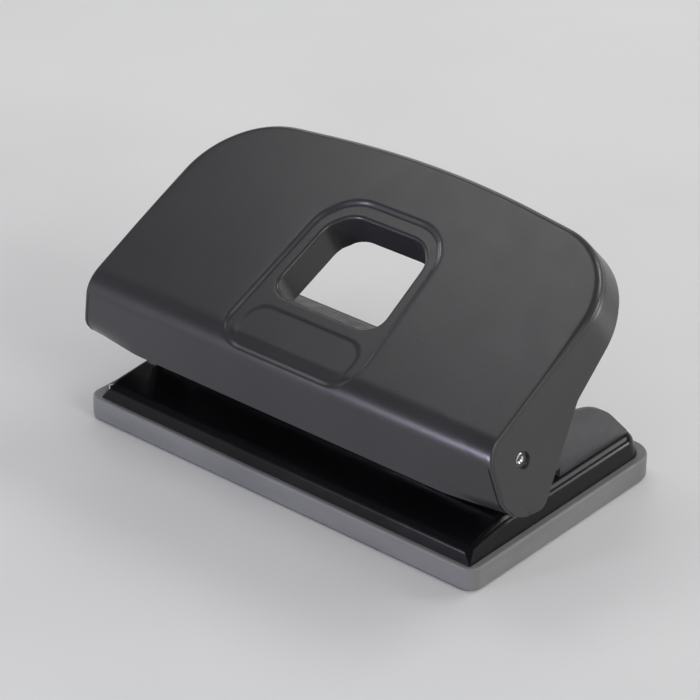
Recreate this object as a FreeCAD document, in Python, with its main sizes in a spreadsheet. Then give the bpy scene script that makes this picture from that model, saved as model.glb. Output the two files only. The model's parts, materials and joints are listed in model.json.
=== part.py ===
import FreeCAD
import Part
import Sketcher
import math
import os
import re

# Mini two-hole punch: a pressed steel lever over a pressed steel base with a snap-on chip tray.
# Millimetres. X runs along the punch, +Y points to the back and +Z is up.
# The origin is in the middle of the face that the punch stands on.
# Lengths along the sloping plate of the handle are called run, and lengths square to it drop.

SIZES = {
    # Paper and punching
    "hole_spacing": 80.0,
    "punch_diameter": 6.0,
    "paper_margin": 12.0,
    "stop_y": 2.25,
    "throat": 2.0,
    "die_fit": 0.08,
    "guide_fit": 0.05,
    # Chip tray
    "tray_height": 5.1,
    "tray_ledge_left": 3.3,
    "tray_ledge_right": 1.6,
    "tray_ledge_front": 1.0,
    "tray_ledge_back": 2.3,
    "tray_corner_front": 2.8,
    "tray_corner_back": 5.6,
    "tray_foot_bevel": 0.6,
    "tray_floor": 1.3,
    "tray_lip_rise": 1.5,
    "tray_lip_wall": 1.1,
    "tray_lip_fit": 0.15,
    "tray_hollow_round": 2.6,
    # Base plate
    "base_end_margin": 2.5,
    "base_back_margin": 2.4,
    "base_sheet": 1.2,
    "base_rise": 4.6,
    "base_corner_front": 1.4,
    "base_corner_back": 4.0,
    "base_edge_round": 1.3,
    "skirt_draft": 12.0,
    "ramp_run": 11.6,
    "ramp_angle": 6.5,
    "ramp_blend": 15.0,
    # Die strip
    "die_strip_sheet": 2.0,
    "die_strip_width": 12.6,
    "die_strip_overhang": 5.0,
    # Punch frame
    "frame_sheet": 1.4,
    "frame_end_room": 6.2,
    "frame_rise": 12.4,
    "frame_nose": 17.5,
    "frame_bend": 1.8,
    "foot_depth": 16.0,
    "ear_overhang": 5.2,
    "ear_heel_round": 0.5,
    "ear_knee_back": 11.7,
    "ear_knee_drop": 5.8,
    "ear_knee_round": 19.0,
    "ear_dip_back": 1.8,
    "ear_dip_rise": 0.85,
    "ear_dip_round": 6.0,
    "ear_boss": 5.0,
    "ear_throat_back": 3.5,
    "ear_throat_round": 1.5,
    # Lower guide
    "guide_sheet": 1.5,
    "guide_nose": 6.0,
    "guide_wall_rise": 6.5,
    "guide_play": 0.8,
    "guide_bend": 0.8,
    # Frame rivets
    "rivet_shank": 1.6,
    "rivet_head": 2.9,
    "rivet_head_rise": 1.2,
    "rivet_tail": 2.3,
    "rivet_tail_rise": 0.8,
    "rivet_pitch": 22.0,
    "rivet_set_back": 8.0,
    # Pivot
    "lever_arm": 10.2,
    "pivot_lift": 1.1,
    "shaft_radius": 1.5,
    "shaft_tail": 2.0,
    "shaft_chamfer": 0.3,
    "running_fit": 0.04,
    "ear_fit": 0.02,
    "washer_sheet": 0.7,
    "washer_radius": 3.2,
    "side_play": 0.1,
    "clip_sheet": 0.6,
    "clip_radius": 2.9,
    "clip_groove": 0.4,
    "clip_mouth": 2.0,
    # Handle shell
    "shell_sheet": 1.0,
    "plate_tilt": 27.3,
    "plate_lift": 18.1,
    "plate_set_back": 18.0,
    "cheek_room": 1.7,
    "plate_taper": 0.8,
    "plate_apex": 25.85,
    "plate_arch": 6.3,
    "plate_corner": 19.0,
    "plate_edge_round": 1.8,
    "wall_draft": 14.5,
    "nose_reach": 8.4,
    "bend_radius": 5.4,
    "apron_lean": 7.5,
    "apron_drop": 9.3,
    "form_depth": 40.0,
    "cheek_hole": 1.95,
    "lobe_drop": 10.8,
    "lobe_front": 3.9,
    "lobe_toe": 3.0,
    "lobe_heel": 3.3,
    "lobe_round": 3.2,
    "neck_run": -7.4,
    "neck_drop": 9.9,
    "neck_round": 5.0,
    "hip_run": 3.6,
    "hip_drop": 8.1,
    "hip_round": 6.0,
    "flange_run": 12.5,
    "flange_drop": 7.2,
    "flange_round": 4.0,
    # Window and sunk panel
    "window_half": 13.0,
    "window_low": -15.4,
    "window_high": 7.2,
    "window_round_low": 4.0,
    "window_round_high": 6.0,
    "window_taper": 0.6,
    "collar_drop": 7.3,
    "panel_half_low": 17.4,
    "panel_half_high": 15.0,
    "panel_low": -29.4,
    "panel_high": 10.8,
    "panel_round_low": 6.0,
    "panel_round_high": 8.0,
    "panel_sink": 0.8,
    "label_half": 14.2,
    "label_low": -28.5,
    "label_high": -18.6,
    "label_round": 4.2,
    "label_sink": 0.25,
    # Press levers under the shell
    "lever_sheet": 1.4,
    "lever_boss": 5.0,
    "lever_pad_rise": 6.6,
    "lever_pad_front": 4.6,
    "lever_pad_back": 4.2,
    "lever_pad_edge": 0.5,
    "lever_pad_reach": 4.5,
    "lever_tab_reach": 9.0,
    "lever_tab_low": -16.0,
    "lever_tab_high": 2.0,
    # Punches, their rings and springs
    "punch_gap": 0.3,
    "punch_bevel": 1.7,
    "punch_hollow": 0.9,
    "punch_up": 0.3,
    "ring_sheet": 0.7,
    "ring_lap": 1.3,
    "ring_groove": 0.5,
    "ring_gap": 0.25,
    "ring_play": 0.05,
    "ring_mouth": 3.6,
    "seat_sheet": 0.6,
    "seat_lap": 1.4,
    "spring_wire": 0.7,
    "spring_room": 0.5,
    "spring_turns": 3.0,
    "spring_gap": 0.12,
}

DERIVED = {
    # Across the punch
    "punch_x": "hole_spacing / 2",
    "punch_radius": "punch_diameter / 2",
    "frame_half": "punch_x + frame_end_room",
    "guide_half": "frame_half - frame_sheet - guide_play",
    "base_half": "frame_half + base_end_margin",
    "tray_left": "base_half + tray_ledge_left",
    "tray_right": "base_half + tray_ledge_right",
    "lever_in": "frame_half + washer_sheet + side_play",
    "lever_out": "lever_in + lever_sheet",
    "shaft_half": "lever_out + shaft_tail",
    "plate_half_low": "shaft_half + cheek_room",
    "plate_half_high": "plate_half_low - plate_taper",
    # From front to back
    "punch_y": "stop_y - paper_margin",
    "pivot_y": "punch_y - lever_arm",
    "bend_reach": "nose_reach - pivot_y",
    "frame_back": "stop_y + frame_sheet",
    "foot_end": "frame_back + foot_depth",
    "ear_back": "foot_end + ear_overhang",
    "base_back": "ear_back + base_back_margin",
    "tray_half_depth": "base_back + tray_ledge_back",
    "base_front": "tray_half_depth - tray_ledge_front",
    "ramp_start": "base_front - ramp_run",
    "plate_y": "pivot_y + plate_set_back",
    # From the floor up
    "base_top": "tray_height + base_rise",
    "base_under": "base_top - base_sheet",
    "guide_under": "base_top + throat",
    "guide_top": "guide_under + guide_sheet",
    "frame_top": "guide_top + frame_rise",
    "frame_under": "frame_top - frame_sheet",
    "pivot_z": "frame_top + pivot_lift",
    "lever_pad_z": "pivot_z + lever_pad_rise",
    "plate_height": "pivot_z + plate_lift",
    "plate_foot": "plate_height - (bend_reach + plate_y) * tan(plate_tilt)",
    "apron_bottom": "pivot_z - apron_drop",
    "ring_top": "frame_under - ring_gap",
    "seat_top": "ring_top - ring_sheet",
    "spring_top": "seat_top - seat_sheet",
    "punch_tip": "guide_under + punch_up",
    "punch_top": "lever_pad_z - punch_gap",
    # Slope of the handle's arched top edge, and the spring's middle radius
    "arch_slope": "plate_arch / plate_half_high",
    "spring_radius": "punch_radius + spring_room + spring_wire / 2",
}

SPRING_ARC_TURN = 0.25
SPRING_WIRE_SIDES = 6

doc = FreeCAD.newDocument("MiniHolePunch")
sheet = doc.addObject("Spreadsheet::Sheet", "Sizes")
for row, (alias, size) in enumerate(SIZES.items(), start=1):
    sheet.set(f"A{row}", alias)
    sheet.set(f"B{row}", str(size))
    sheet.setAlias(f"B{row}", alias)
doc.recompute()

WORD = re.compile(r"\b[a-z][a-z_]+\b")


def bound(rule):
    """Spell a rule of plain names out as an expression on the sheet."""

    def spell(match):
        word = match.group(0)
        if word in SIZES:
            return f"Sizes.{word}"
        if word in DERIVED:
            return f"({bound(DERIVED[word])})"
        return word

    return WORD.sub(spell, str(rule))


def number(rule):
    """Work a rule out to a number."""
    result = sheet.evalExpression(bound(rule))
    return float(getattr(result, "Value", result))


def tie(thing, prop, rule):
    """Bind a property to the sheet."""
    thing.setExpression(prop, bound(rule))


def flat(corner):
    """Give a corner's point on the sketch plane."""
    return FreeCAD.Vector(number(corner[0]), number(corner[1]), 0)


def touch(centre, radius, outside, side):
    """Find where a line from outside touches a circle, on the side asked for."""
    away = outside - centre
    angle = side * math.degrees(math.acos(radius / away.Length))
    turned = FreeCAD.Rotation(FreeCAD.Vector(0, 0, 1), angle).multVec(away)
    return centre + turned.normalize() * radius


def outline_side(corners):
    """Give 1 for an outline that runs anticlockwise and -1 for the other way."""
    points = [flat(corner) for corner in corners]
    area = sum(points[index - 1].cross(points[index]).z for index in range(len(points)))
    return 1 if area > 0 else -1


def boss_arc(corners, index):
    """Find where a boss's arc starts and ends, its lines running on to the next corners."""
    centre = flat(corners[index])
    radius = number(corners[index][2])
    side = outline_side(corners)
    start = touch(centre, radius, flat(corners[index - 1]), side)
    end = touch(centre, radius, flat(corners[(index + 1) % len(corners)]), -side)
    return start, end, centre


def heading(corners, index, coming):
    """Point that a line into or out of a corner heads for."""
    if is_boss(corners[index]):
        start, end, centre = boss_arc(corners, index)
        return start if coming else end
    return flat(corners[index])


def is_boss(corner):
    """Tell a boss, rounded about its point, from a plain corner."""
    return len(corner) > 3


def corner_arc(corners, index):
    """Find where a corner's rounding starts, ends and has its centre."""
    if is_boss(corners[index]):
        return boss_arc(corners, index)
    here = flat(corners[index])
    if len(corners[index]) < 3:
        return here, here, None
    radius = number(corners[index][2])
    back = (heading(corners, index - 1, False) - here).normalize()
    onward = (heading(corners, (index + 1) % len(corners), True) - here).normalize()
    half = math.acos(back.dot(onward)) / 2
    reach = radius / math.tan(half)
    centre = here + (back + onward).normalize() * (radius / math.sin(half))
    return here + back * reach, here + onward * reach, centre


def angle_of(spoke):
    """Direction of a spoke from an arc's centre, in radians."""
    return math.atan2(spoke.y, spoke.x)


def runs_left(corners, index, first, last):
    """Tell whether an outline turns left along a corner's arc."""
    if is_boss(corners[index]):
        return outline_side(corners) > 0
    return first.cross(last).z > 0


def hold(sketch, geometry, point, corner):
    """Hold a point of the sketch at its rule."""
    for kind, rule in (("DistanceX", corner[0]), ("DistanceY", corner[1])):
        held = sketch.addConstraint(Sketcher.Constraint(kind, geometry, point, number(rule)))
        tie(sketch, f"Constraints[{held}]", rule)


def open_sketch(body, name, plane, height="0"):
    """Start a sketch on one of a body's own planes, raised by height."""
    sketch = body.newObject("Sketcher::SketchObject", name)
    support = [item for item in body.Origin.OriginFeatures if item.Role == plane][0]
    sketch.AttachmentSupport = [(support, "")]
    sketch.MapMode = "FlatFace"
    tie(sketch, "AttachmentOffset.Base.z", height)
    return sketch


def draw_outline(sketch, corners):
    """Draw a closed outline: plain corners, rounded ones, and bosses rounded about their point."""
    count = len(corners)
    arcs = [corner_arc(corners, index) for index in range(count)]
    sides = []
    for index in range(count):
        side = Part.LineSegment(arcs[index][1], arcs[(index + 1) % count][0])
        sides.append(sketch.addGeometry(side, False))
    for index, corner in enumerate(corners):
        before = sides[index - 1]
        after = sides[index]
        start, end, centre = arcs[index]
        if centre is None:
            sketch.addConstraint(Sketcher.Constraint("Coincident", before, 2, after, 1))
            hold(sketch, after, 1, corner)
            continue
        first = start - centre
        last = end - centre
        near = 1
        if not runs_left(corners, index, first, last):
            first, last = last, first
            near = 2
        circle = Part.Circle(centre, FreeCAD.Vector(0, 0, 1), first.Length)
        arc = sketch.addGeometry(Part.ArcOfCircle(circle, angle_of(first), angle_of(last)), False)
        sketch.addConstraint(Sketcher.Constraint("Tangent", before, 2, arc, near))
        sketch.addConstraint(Sketcher.Constraint("Tangent", arc, 3 - near, after, 1))
        held = sketch.addConstraint(Sketcher.Constraint("Radius", arc, number(corner[2])))
        tie(sketch, f"Constraints[{held}]", corner[2])
        if is_boss(corner):
            hold(sketch, arc, 3, corner)
            continue
        point = sketch.addGeometry(Part.Point(flat(corner)), True)
        sketch.addConstraint(Sketcher.Constraint("PointOnObject", point, 1, before))
        sketch.addConstraint(Sketcher.Constraint("PointOnObject", point, 1, after))
        hold(sketch, point, 1, corner)


def draw_circle(sketch, corner, radius):
    """Draw a circle about a point."""
    circle = sketch.addGeometry(Part.Circle(flat(corner), FreeCAD.Vector(0, 0, 1), number(radius)), False)
    hold(sketch, circle, 3, corner)
    held = sketch.addConstraint(Sketcher.Constraint("Radius", circle, number(radius)))
    tie(sketch, f"Constraints[{held}]", radius)


def new_body(name):
    """Start a body with a label of its own."""
    body = doc.addObject("PartDesign::Body", name)
    body.Label = name
    return body


def finish_pad(feature, sketch, length, middle, down):
    """Set a pad's or pocket's extent."""
    feature.Profile = sketch
    tie(feature, "Length", length)
    feature.Midplane = middle
    feature.Reversed = down
    doc.recompute()
    return feature


def pad(body, name, plane, corners, length, height="0", middle=False, down=False):
    """Add a prism on an outline."""
    sketch = open_sketch(body, f"{name}Sketch", plane, height)
    draw_outline(sketch, corners)
    return finish_pad(body.newObject("PartDesign::Pad", name), sketch, length, middle, down)


def pocket(body, name, plane, corners, length, height="0", middle=False, down=False):
    """Cut a prism on an outline."""
    sketch = open_sketch(body, f"{name}Sketch", plane, height)
    draw_outline(sketch, corners)
    return finish_pad(body.newObject("PartDesign::Pocket", name), sketch, length, middle, down)


def drill(body, name, plane, points, radius, length, height="0", middle=False, down=False):
    """Cut round holes at points."""
    sketch = open_sketch(body, f"{name}Sketch", plane, height)
    for point in points:
        draw_circle(sketch, point, radius)
    return finish_pad(body.newObject("PartDesign::Pocket", name), sketch, length, middle, down)


def turn(body, name, corners, axis="V_Axis"):
    """Turn an outline of radius and height about the body's upright axis."""
    sketch = open_sketch(body, f"{name}Sketch", "XZ_Plane")
    draw_outline(sketch, corners)
    feature = body.newObject("PartDesign::Revolution", name)
    feature.Profile = sketch
    feature.ReferenceAxis = (sketch, [axis])
    feature.Angle = 360
    doc.recompute()
    return feature


def rounded(body, name, radius, wanted):
    """Round the edges of the body's tip that a test picks."""
    base = body.Tip
    names = [f"Edge{index}" for index, edge in enumerate(base.Shape.Edges, start=1) if wanted(edge)]
    feature = body.newObject("PartDesign::Fillet", name)
    feature.Base = (base, names)
    tie(feature, "Radius", radius)
    doc.recompute()
    return feature


def bevelled(body, name, size, wanted):
    """Bevel the edges of the body's tip that a test picks."""
    base = body.Tip
    names = [f"Edge{index}" for index, edge in enumerate(base.Shape.Edges, start=1) if wanted(edge)]
    feature = body.newObject("PartDesign::Chamfer", name)
    feature.Base = (base, names)
    tie(feature, "Size", size)
    doc.recompute()
    return feature


def combine(kind, name, base, tool):
    """Join two shapes by a boolean of the given kind."""
    feature = doc.addObject(f"Part::{kind}", name)
    feature.Label = name
    feature.Base = base
    feature.Tool = tool
    doc.recompute()
    return feature


def move(thing, across="0", along="0", up="0"):
    """Place a body at a point given by rules."""
    tie(thing, "Placement.Base.x", across)
    tie(thing, "Placement.Base.y", along)
    tie(thing, "Placement.Base.z", up)


def slab_outline(left, right, front, back, front_round, back_round):
    """Outline of a rectangle about the origin with its own corners at the front and back."""
    return [
        (f"-({left})", f"-({front})", front_round),
        (right, f"-({front})", front_round),
        (right, back, back_round),
        (f"-({left})", back, back_round),
    ]


def span(low_x, high_x, low_y, high_y):
    """Outline of a plain rectangle between limits."""
    return [(low_x, low_y), (high_x, low_y), (high_x, high_y), (low_x, high_y)]


def at_height(edge, height):
    """Tell whether an edge lies flat at a height."""
    box = edge.BoundBox
    return abs(box.ZMin - height) < 0.001 and abs(box.ZMax - height) < 0.001


# Chip tray
def make_chip_tray():
    """Open tray with a bevelled foot and a lip that snaps inside the base plate's skirt."""
    body = new_body("chip_tray")
    outer = slab_outline(
        "tray_left", "tray_right", "tray_half_depth", "tray_half_depth", "tray_corner_front", "tray_corner_back"
    )
    pad(body, "TrayBlock", "XY_Plane", outer, "tray_height")
    bevelled(body, "TrayFoot", "tray_foot_bevel", lambda edge: at_height(edge, 0))
    inset = "base_sheet / cos(skirt_draft) + tray_lip_rise * tan(skirt_draft) + tray_lip_fit"
    lip_top = "tray_height + tray_lip_rise"
    lip = slab_outline(
        f"base_half - ({inset})", f"base_half - ({inset})", f"base_front - ({inset})", f"base_back - ({inset})",
        "base_corner_front", f"base_corner_back - ({inset})",
    )
    pad(body, "TrayLip", "XY_Plane", lip, lip_top)
    inner = f"{inset} + tray_lip_wall"
    hollow = slab_outline(
        f"base_half - ({inner})", f"base_half - ({inner})", f"base_front - ({inner})", f"base_back - ({inner})",
        "tray_hollow_round", "tray_hollow_round",
    )
    pocket(body, "TrayHollow", "XY_Plane", hollow, f"{lip_top} - tray_floor", lip_top)
    return body


# Base plate
def base_block(name, inset):
    """Solid form of the base plate, drawn in by inset: drafted all round, with the ramp in front."""
    body = new_body(name)
    step = f"({inset}) / cos(skirt_draft)"
    rise = f"base_rise - ({inset})"
    lean = f"({rise}) * tan(skirt_draft)"
    front = f"base_front - {step}"
    back = f"base_back - {step}"
    half = f"base_half - {step}"
    toe = f"({rise} - ({front} - ramp_start) * tan(ramp_angle)) / (1 - tan(skirt_draft) * tan(ramp_angle))"
    section = [
        (f"-({front})", "tray_height"),
        (back, "tray_height"),
        (f"{back} - {lean}", f"base_top - ({inset})"),
        ("-ramp_start", f"base_top - ({inset})", f"ramp_blend - ({inset})"),
        (f"-({front}) + {toe} * tan(skirt_draft)", f"tray_height + {toe}"),
    ]
    pad(body, f"{name}Block", "YZ_Plane", section, "base_half * 3", middle=True)
    for side, sign in (("Left", "-1"), ("Right", "1")):
        end = [
            (f"({half}) * {sign}", "tray_height"),
            (f"({half} - ({lean})) * {sign}", f"base_top - ({inset})"),
            (f"({half} - ({lean})) * {sign}", "base_top + 1"),
            (f"base_half * 2 * {sign}", "base_top + 1"),
            (f"base_half * 2 * {sign}", "tray_height"),
        ]
        pocket(body, f"{name}{side}", "XZ_Plane", end, "base_front * 3", middle=True)
    return body


def upright(edge, front):
    """Tell whether an edge climbs a corner at the front, or at the back."""
    box = edge.BoundBox
    return box.ZLength > max(box.XLength, box.YLength) and (box.Center.y < 0) == front


def make_base_plate():
    """Pressed plate with its skirt turned down, its ramp, die holes and rivet holes."""
    outer = base_block("BaseOuter", "0")
    rounded(outer, "BaseFrontCorners", "base_corner_front", lambda edge: upright(edge, True))
    rounded(outer, "BaseBackCorners", "base_corner_back", lambda edge: upright(edge, False))
    low = number("tray_height + base_sheet")
    lean = number("base_rise * tan(skirt_draft)")
    half = number("base_half - base_corner_back") - lean
    back = number("base_back - base_corner_back") - lean
    front = number("-base_front + base_corner_front") + lean

    def on_rim(edge):
        """Pick the edges round the top, level or sloping, that touch a side wall."""
        middle = edge.valueAt((edge.FirstParameter + edge.LastParameter) / 2)
        beside = abs(middle.x) > half or middle.y > back or middle.y < front
        return edge.BoundBox.ZMin > low and beside

    rounded(outer, "BaseRim", "base_edge_round", on_rim)
    drill(outer, "DieHoles", "XY_Plane", punch_points(), "punch_radius + die_fit", "base_sheet * 3",
          "base_top + 1")
    drill(outer, "RivetHoles", "XY_Plane", rivet_points(), "rivet_shank", "base_sheet * 3", "base_top + 1")
    inner = base_block("BaseInner", "base_sheet")
    rounded(inner, "InnerBackCorners", "base_corner_back - base_sheet", lambda edge: upright(edge, False))
    return combine("Cut", "base_plate", outer, inner)


def punch_points():
    """Places of the two punches in plan."""
    return [("-punch_x", "punch_y"), ("punch_x", "punch_y")]


def rivet_points():
    """Places of the four frame rivets in plan."""
    back = "frame_back + rivet_set_back"
    return [(f"rivet_pitch * {step}", back) for step in (-1.5, -0.5, 0.5, 1.5)]


def make_die_strip():
    """Thick strip under the base plate that holds the two die holes."""
    body = new_body("die_strip")
    half = "punch_x + die_strip_overhang"
    outline = span(
        f"-({half})", half, "punch_y - die_strip_width / 2", "punch_y + die_strip_width / 2"
    )
    pad(body, "StripBlock", "XY_Plane", outline, "die_strip_sheet", "base_under - die_strip_sheet")
    drill(body, "StripHoles", "XY_Plane", punch_points(), "punch_radius + die_fit",
          "die_strip_sheet * 2", "base_under")
    return body


# Punch frame
def make_punch_frame():
    """Folded frame: foot, upright wall, top shelf, and an ear at each end."""
    body = new_body("punch_frame")
    section = [
        ("foot_end", "base_top"),
        ("stop_y", "base_top"),
        ("stop_y", "frame_under", "frame_bend - frame_sheet"),
        ("stop_y - frame_nose", "frame_under"),
        ("stop_y - frame_nose", "frame_top"),
        ("frame_back", "frame_top", "frame_bend"),
        ("frame_back", "base_top + frame_sheet"),
        ("foot_end", "base_top + frame_sheet"),
    ]
    pad(body, "FrameFold", "YZ_Plane", section, "(frame_half - frame_sheet) * 2", middle=True)
    ear = [
        ("ear_back", "base_top", "ear_heel_round"),
        ("frame_back + ear_knee_back", "frame_top - ear_knee_drop", "ear_knee_round"),
        ("punch_y + ear_dip_back", "frame_top + ear_dip_rise", "ear_dip_round"),
        ("pivot_y", "pivot_z", "ear_boss", "boss"),
        ("pivot_y + ear_throat_back", "guide_under", "ear_throat_round"),
        ("stop_y", "guide_under"),
        ("stop_y", "base_top"),
    ]
    for name, height in (("LeftEar", "-frame_half"), ("RightEar", "frame_half - frame_sheet")):
        pad(body, name, "YZ_Plane", ear, "frame_sheet", height)
    drill(body, "FramePivotHoles", "YZ_Plane", [("pivot_y", "pivot_z")], "shaft_radius + ear_fit",
          "frame_half * 3", middle=True)
    drill(body, "FramePunchHoles", "XY_Plane", punch_points(), "punch_radius + guide_fit",
          "frame_sheet * 3", "frame_top + 1")
    drill(body, "FrameRivetHoles", "XY_Plane", rivet_points(), "rivet_shank", "frame_sheet * 2",
          "base_top + frame_sheet + 1")
    return body


def make_lower_guide():
    """Angle rail over the throat: it guides the punches and strips the paper off them."""
    body = new_body("lower_guide")
    section = [
        ("stop_y", "guide_under", "guide_bend + guide_sheet"),
        ("punch_y - guide_nose", "guide_under"),
        ("punch_y - guide_nose", "guide_top"),
        ("stop_y - guide_sheet", "guide_top", "guide_bend"),
        ("stop_y - guide_sheet", "guide_top + guide_wall_rise"),
        ("stop_y", "guide_top + guide_wall_rise"),
    ]
    pad(body, "GuideFold", "YZ_Plane", section, "guide_half * 2", middle=True)
    drill(body, "GuideHoles", "XY_Plane", punch_points(), "punch_radius + guide_fit",
          "guide_sheet * 3", "guide_top + 1")
    return body


def make_frame_rivets():
    """Four rivets through the frame's foot and the base plate, as one group."""
    head_base = "base_top + frame_sheet"
    profile = [
        ("0", "base_under - rivet_tail_rise"),
        ("rivet_tail", "base_under - rivet_tail_rise"),
        ("rivet_tail", "base_under"),
        ("rivet_shank", "base_under"),
        ("rivet_shank", head_base),
        ("rivet_head", head_base),
        ("rivet_head", f"{head_base} + rivet_head_rise"),
        ("0", f"{head_base} + rivet_head_rise"),
    ]
    rivets = []
    for index, point in enumerate(rivet_points(), start=1):
        body = new_body(f"Rivet{index}")
        turn(body, f"RivetTurn{index}", profile)
        move(body, point[0], point[1])
        rivets.append(body)
    group = doc.addObject("Part::Compound", "frame_rivets")
    group.Label = "frame_rivets"
    group.Links = rivets
    doc.recompute()
    return group


# Pivot shaft and what holds it
def lay_along_x(body, across="0"):
    """Turn an upright body so that it lies along +X on the pivot."""
    body.Placement = FreeCAD.Placement(FreeCAD.Vector(), FreeCAD.Rotation(FreeCAD.Vector(0, 1, 0), 90))
    move(body, across, "pivot_y", "pivot_z")


def make_pivot_shaft():
    """Round shaft across both ears with a clip groove near each end."""
    body = new_body("pivot_shaft")
    groove_in = "lever_out + side_play"
    groove_out = "lever_out + side_play * 2 + clip_sheet"
    core = "shaft_radius - clip_groove"
    top = [
        ("shaft_radius", groove_in),
        (core, groove_in),
        (core, groove_out),
        ("shaft_radius", groove_out),
        ("shaft_radius", "shaft_half - shaft_chamfer"),
        ("shaft_radius - shaft_chamfer", "shaft_half"),
        ("0", "shaft_half"),
    ]
    bottom = [(x, f"-({z})") for x, z in reversed(top)]
    turn(body, "ShaftTurn", bottom + top)
    lay_along_x(body)
    return body


def ring(body, name, bore, rim, low, high):
    """Turn a plain flat ring."""
    turn(body, name, [(bore, low), (rim, low), (rim, high), (bore, high)])


def slotted_ring(name, bore, rim, low, high, mouth):
    """Flat spring ring with an open mouth."""
    body = new_body(name)
    ring(body, f"{name}Ring", bore, rim, low, high)
    slot = span("0", f"({rim}) + 1", f"-({mouth}) / 2", f"({mouth}) / 2")
    pocket(body, f"{name}Mouth", "XY_Plane", slot, f"(({high}) - ({low})) * 3", f"({high}) + 1")
    return body


def make_shaft_rings(side, sign):
    """Spacer washer inside the lever and retaining clip outside it."""
    washer = new_body(f"{side}_shaft_washer")
    ring(washer, f"{side}WasherTurn", "shaft_radius + running_fit", "washer_radius",
         "frame_half", "frame_half + washer_sheet")
    clip = slotted_ring(f"{side}_shaft_clip", "shaft_radius - clip_groove + running_fit", "clip_radius",
                        "lever_out + side_play * 1.5", "lever_out + side_play * 1.5 + clip_sheet", "clip_mouth")
    for body in (washer, clip):
        body.Placement = FreeCAD.Placement(
            FreeCAD.Vector(), FreeCAD.Rotation(FreeCAD.Vector(0, 1, 0), 90 * sign)
        )
        move(body, "0", "pivot_y", "pivot_z")
    return [washer, clip]


# Handle shell
def plate_point(run, drop):
    """Y and Z of a point given along and square to the sloping plate."""
    along = f"plate_y + ({run}) * cos(plate_tilt) + ({drop}) * sin(plate_tilt)"
    up = f"plate_height + ({run}) * sin(plate_tilt) - ({drop}) * cos(plate_tilt)"
    return along, up


def side_block(name, inset):
    """Handle's form seen from the side: plate, front bend and apron, drawn in by inset."""
    body = new_body(name)
    share = "(1 + sin(plate_tilt - apron_lean))"
    nose_y = f"-bend_reach + ({inset}) * (sin(plate_tilt) + cos(apron_lean)) / {share}"
    nose_z = f"plate_foot + ({inset}) * (sin(apron_lean) - cos(plate_tilt)) / {share}"
    corners = [
        (nose_y, nose_z, f"bend_radius - ({inset})"),
        (f"{nose_y} + form_depth * sin(apron_lean)", f"{nose_z} - form_depth * cos(apron_lean)"),
        plate_point("form_depth", "form_depth"),
        plate_point("form_depth", inset),
    ]
    pad(body, f"{name}Prism", "YZ_Plane", corners, "(plate_half_low + form_depth) * 2", middle=True)
    return body


def tilt_body(body):
    """Lay a body's own XY plane in the outer face of the sloping plate."""
    body.Placement = FreeCAD.Placement(FreeCAD.Vector(), FreeCAD.Rotation(FreeCAD.Vector(1, 0, 0), 1))
    tie(body, "Placement.Rotation.Angle", "plate_tilt * 1 deg")
    move(body, "0", "plate_y", "plate_height")


def plan_block(name, inset):
    """Handle's form seen square to the plate, its walls flaring as they go down."""
    body = new_body(name)
    step = f"({inset}) / cos(wall_draft)"
    low = f"plate_half_low - {step}"
    high = f"plate_half_high - {step}"
    apex = f"plate_apex - {step} * sqrt(1 + arch_slope ^ 2)"
    shoulder = f"{apex} - ({high}) * arch_slope"
    corners = [
        (f"-({low})", "-form_depth"),
        (low, "-form_depth"),
        (high, shoulder, f"plate_corner - {step}"),
        ("0", apex, f"({high}) / 2 / arch_slope"),
        (f"-({high})", shoulder, f"plate_corner - {step}"),
    ]
    feature = pad(body, f"{name}Prism", "XY_Plane", corners, "form_depth", down=True)
    tie(feature, "TaperAngle", "wall_draft")
    doc.recompute()
    tilt_body(body)
    return body


def handle_block(name, inset):
    """Solid handle form drawn in by inset, with sharp edges."""
    return combine("Common", name, side_block(f"{name}Side", inset), plan_block(f"{name}Plan", inset))


def round_handle(name, core, edge_round):
    """Round the edge of a handle form all the way along."""
    radius = number(edge_round)
    names = [
        (index, radius, radius)
        for index, edge in enumerate(core.Shape.Edges, start=1)
        if edge_of_plate(edge)
    ]
    feature = doc.addObject("Part::Fillet", name)
    feature.Base = core
    feature.Edges = names
    doc.recompute()
    return feature


def edge_of_plate(edge):
    """Pick the edge that runs up the apron, round the bend and about the plate."""
    middle = edge.valueAt((edge.FirstParameter + edge.LastParameter) / 2)
    tilt = math.radians(number("plate_tilt"))
    lean = math.radians(number("apron_lean"))
    back = middle.y - number("plate_y")
    above = (middle.z - number("plate_height")) * math.cos(tilt) - back * math.sin(tilt)
    before = -(middle.y + number("bend_reach")) * math.cos(lean) - (middle.z - number("plate_foot")) * math.sin(lean)
    near_plate = abs(above) < 0.01
    near_apron = abs(before) < 0.01
    ends = [vertex.Point for vertex in edge.Vertexes]
    crossing = len(ends) == 2 and ends[0].x * ends[1].x < 0 and abs(ends[0].x + ends[1].x) < 0.01
    flat_top = near_plate and back > 0
    on_bend = not near_plate and not near_apron and edge.Curve.TypeId != "Part::GeomLine"
    bend = on_bend and middle.y < number("-bend_reach + bend_radius") and above > -number("bend_radius")
    return (near_plate or near_apron or bend) and (flat_top or not crossing)


def plate_prism(name, corners, depth, height="0"):
    """Prism on an outline in the plate, going down square to it."""
    body = new_body(name)
    pad(body, f"{name}Prism", "XY_Plane", corners, depth, height, down=True)
    tilt_body(body)
    return body


def window_outline(grow):
    """Outline of the window in the plate, let out by grow."""
    low = f"window_half + window_taper + ({grow})"
    high = f"window_half - window_taper + ({grow})"
    return [
        (f"-({low})", f"window_low - ({grow})", f"window_round_low + ({grow})"),
        (low, f"window_low - ({grow})", f"window_round_low + ({grow})"),
        (high, f"window_high + ({grow})", f"window_round_high + ({grow})"),
        (f"-({high})", f"window_high + ({grow})", f"window_round_high + ({grow})"),
    ]


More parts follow.
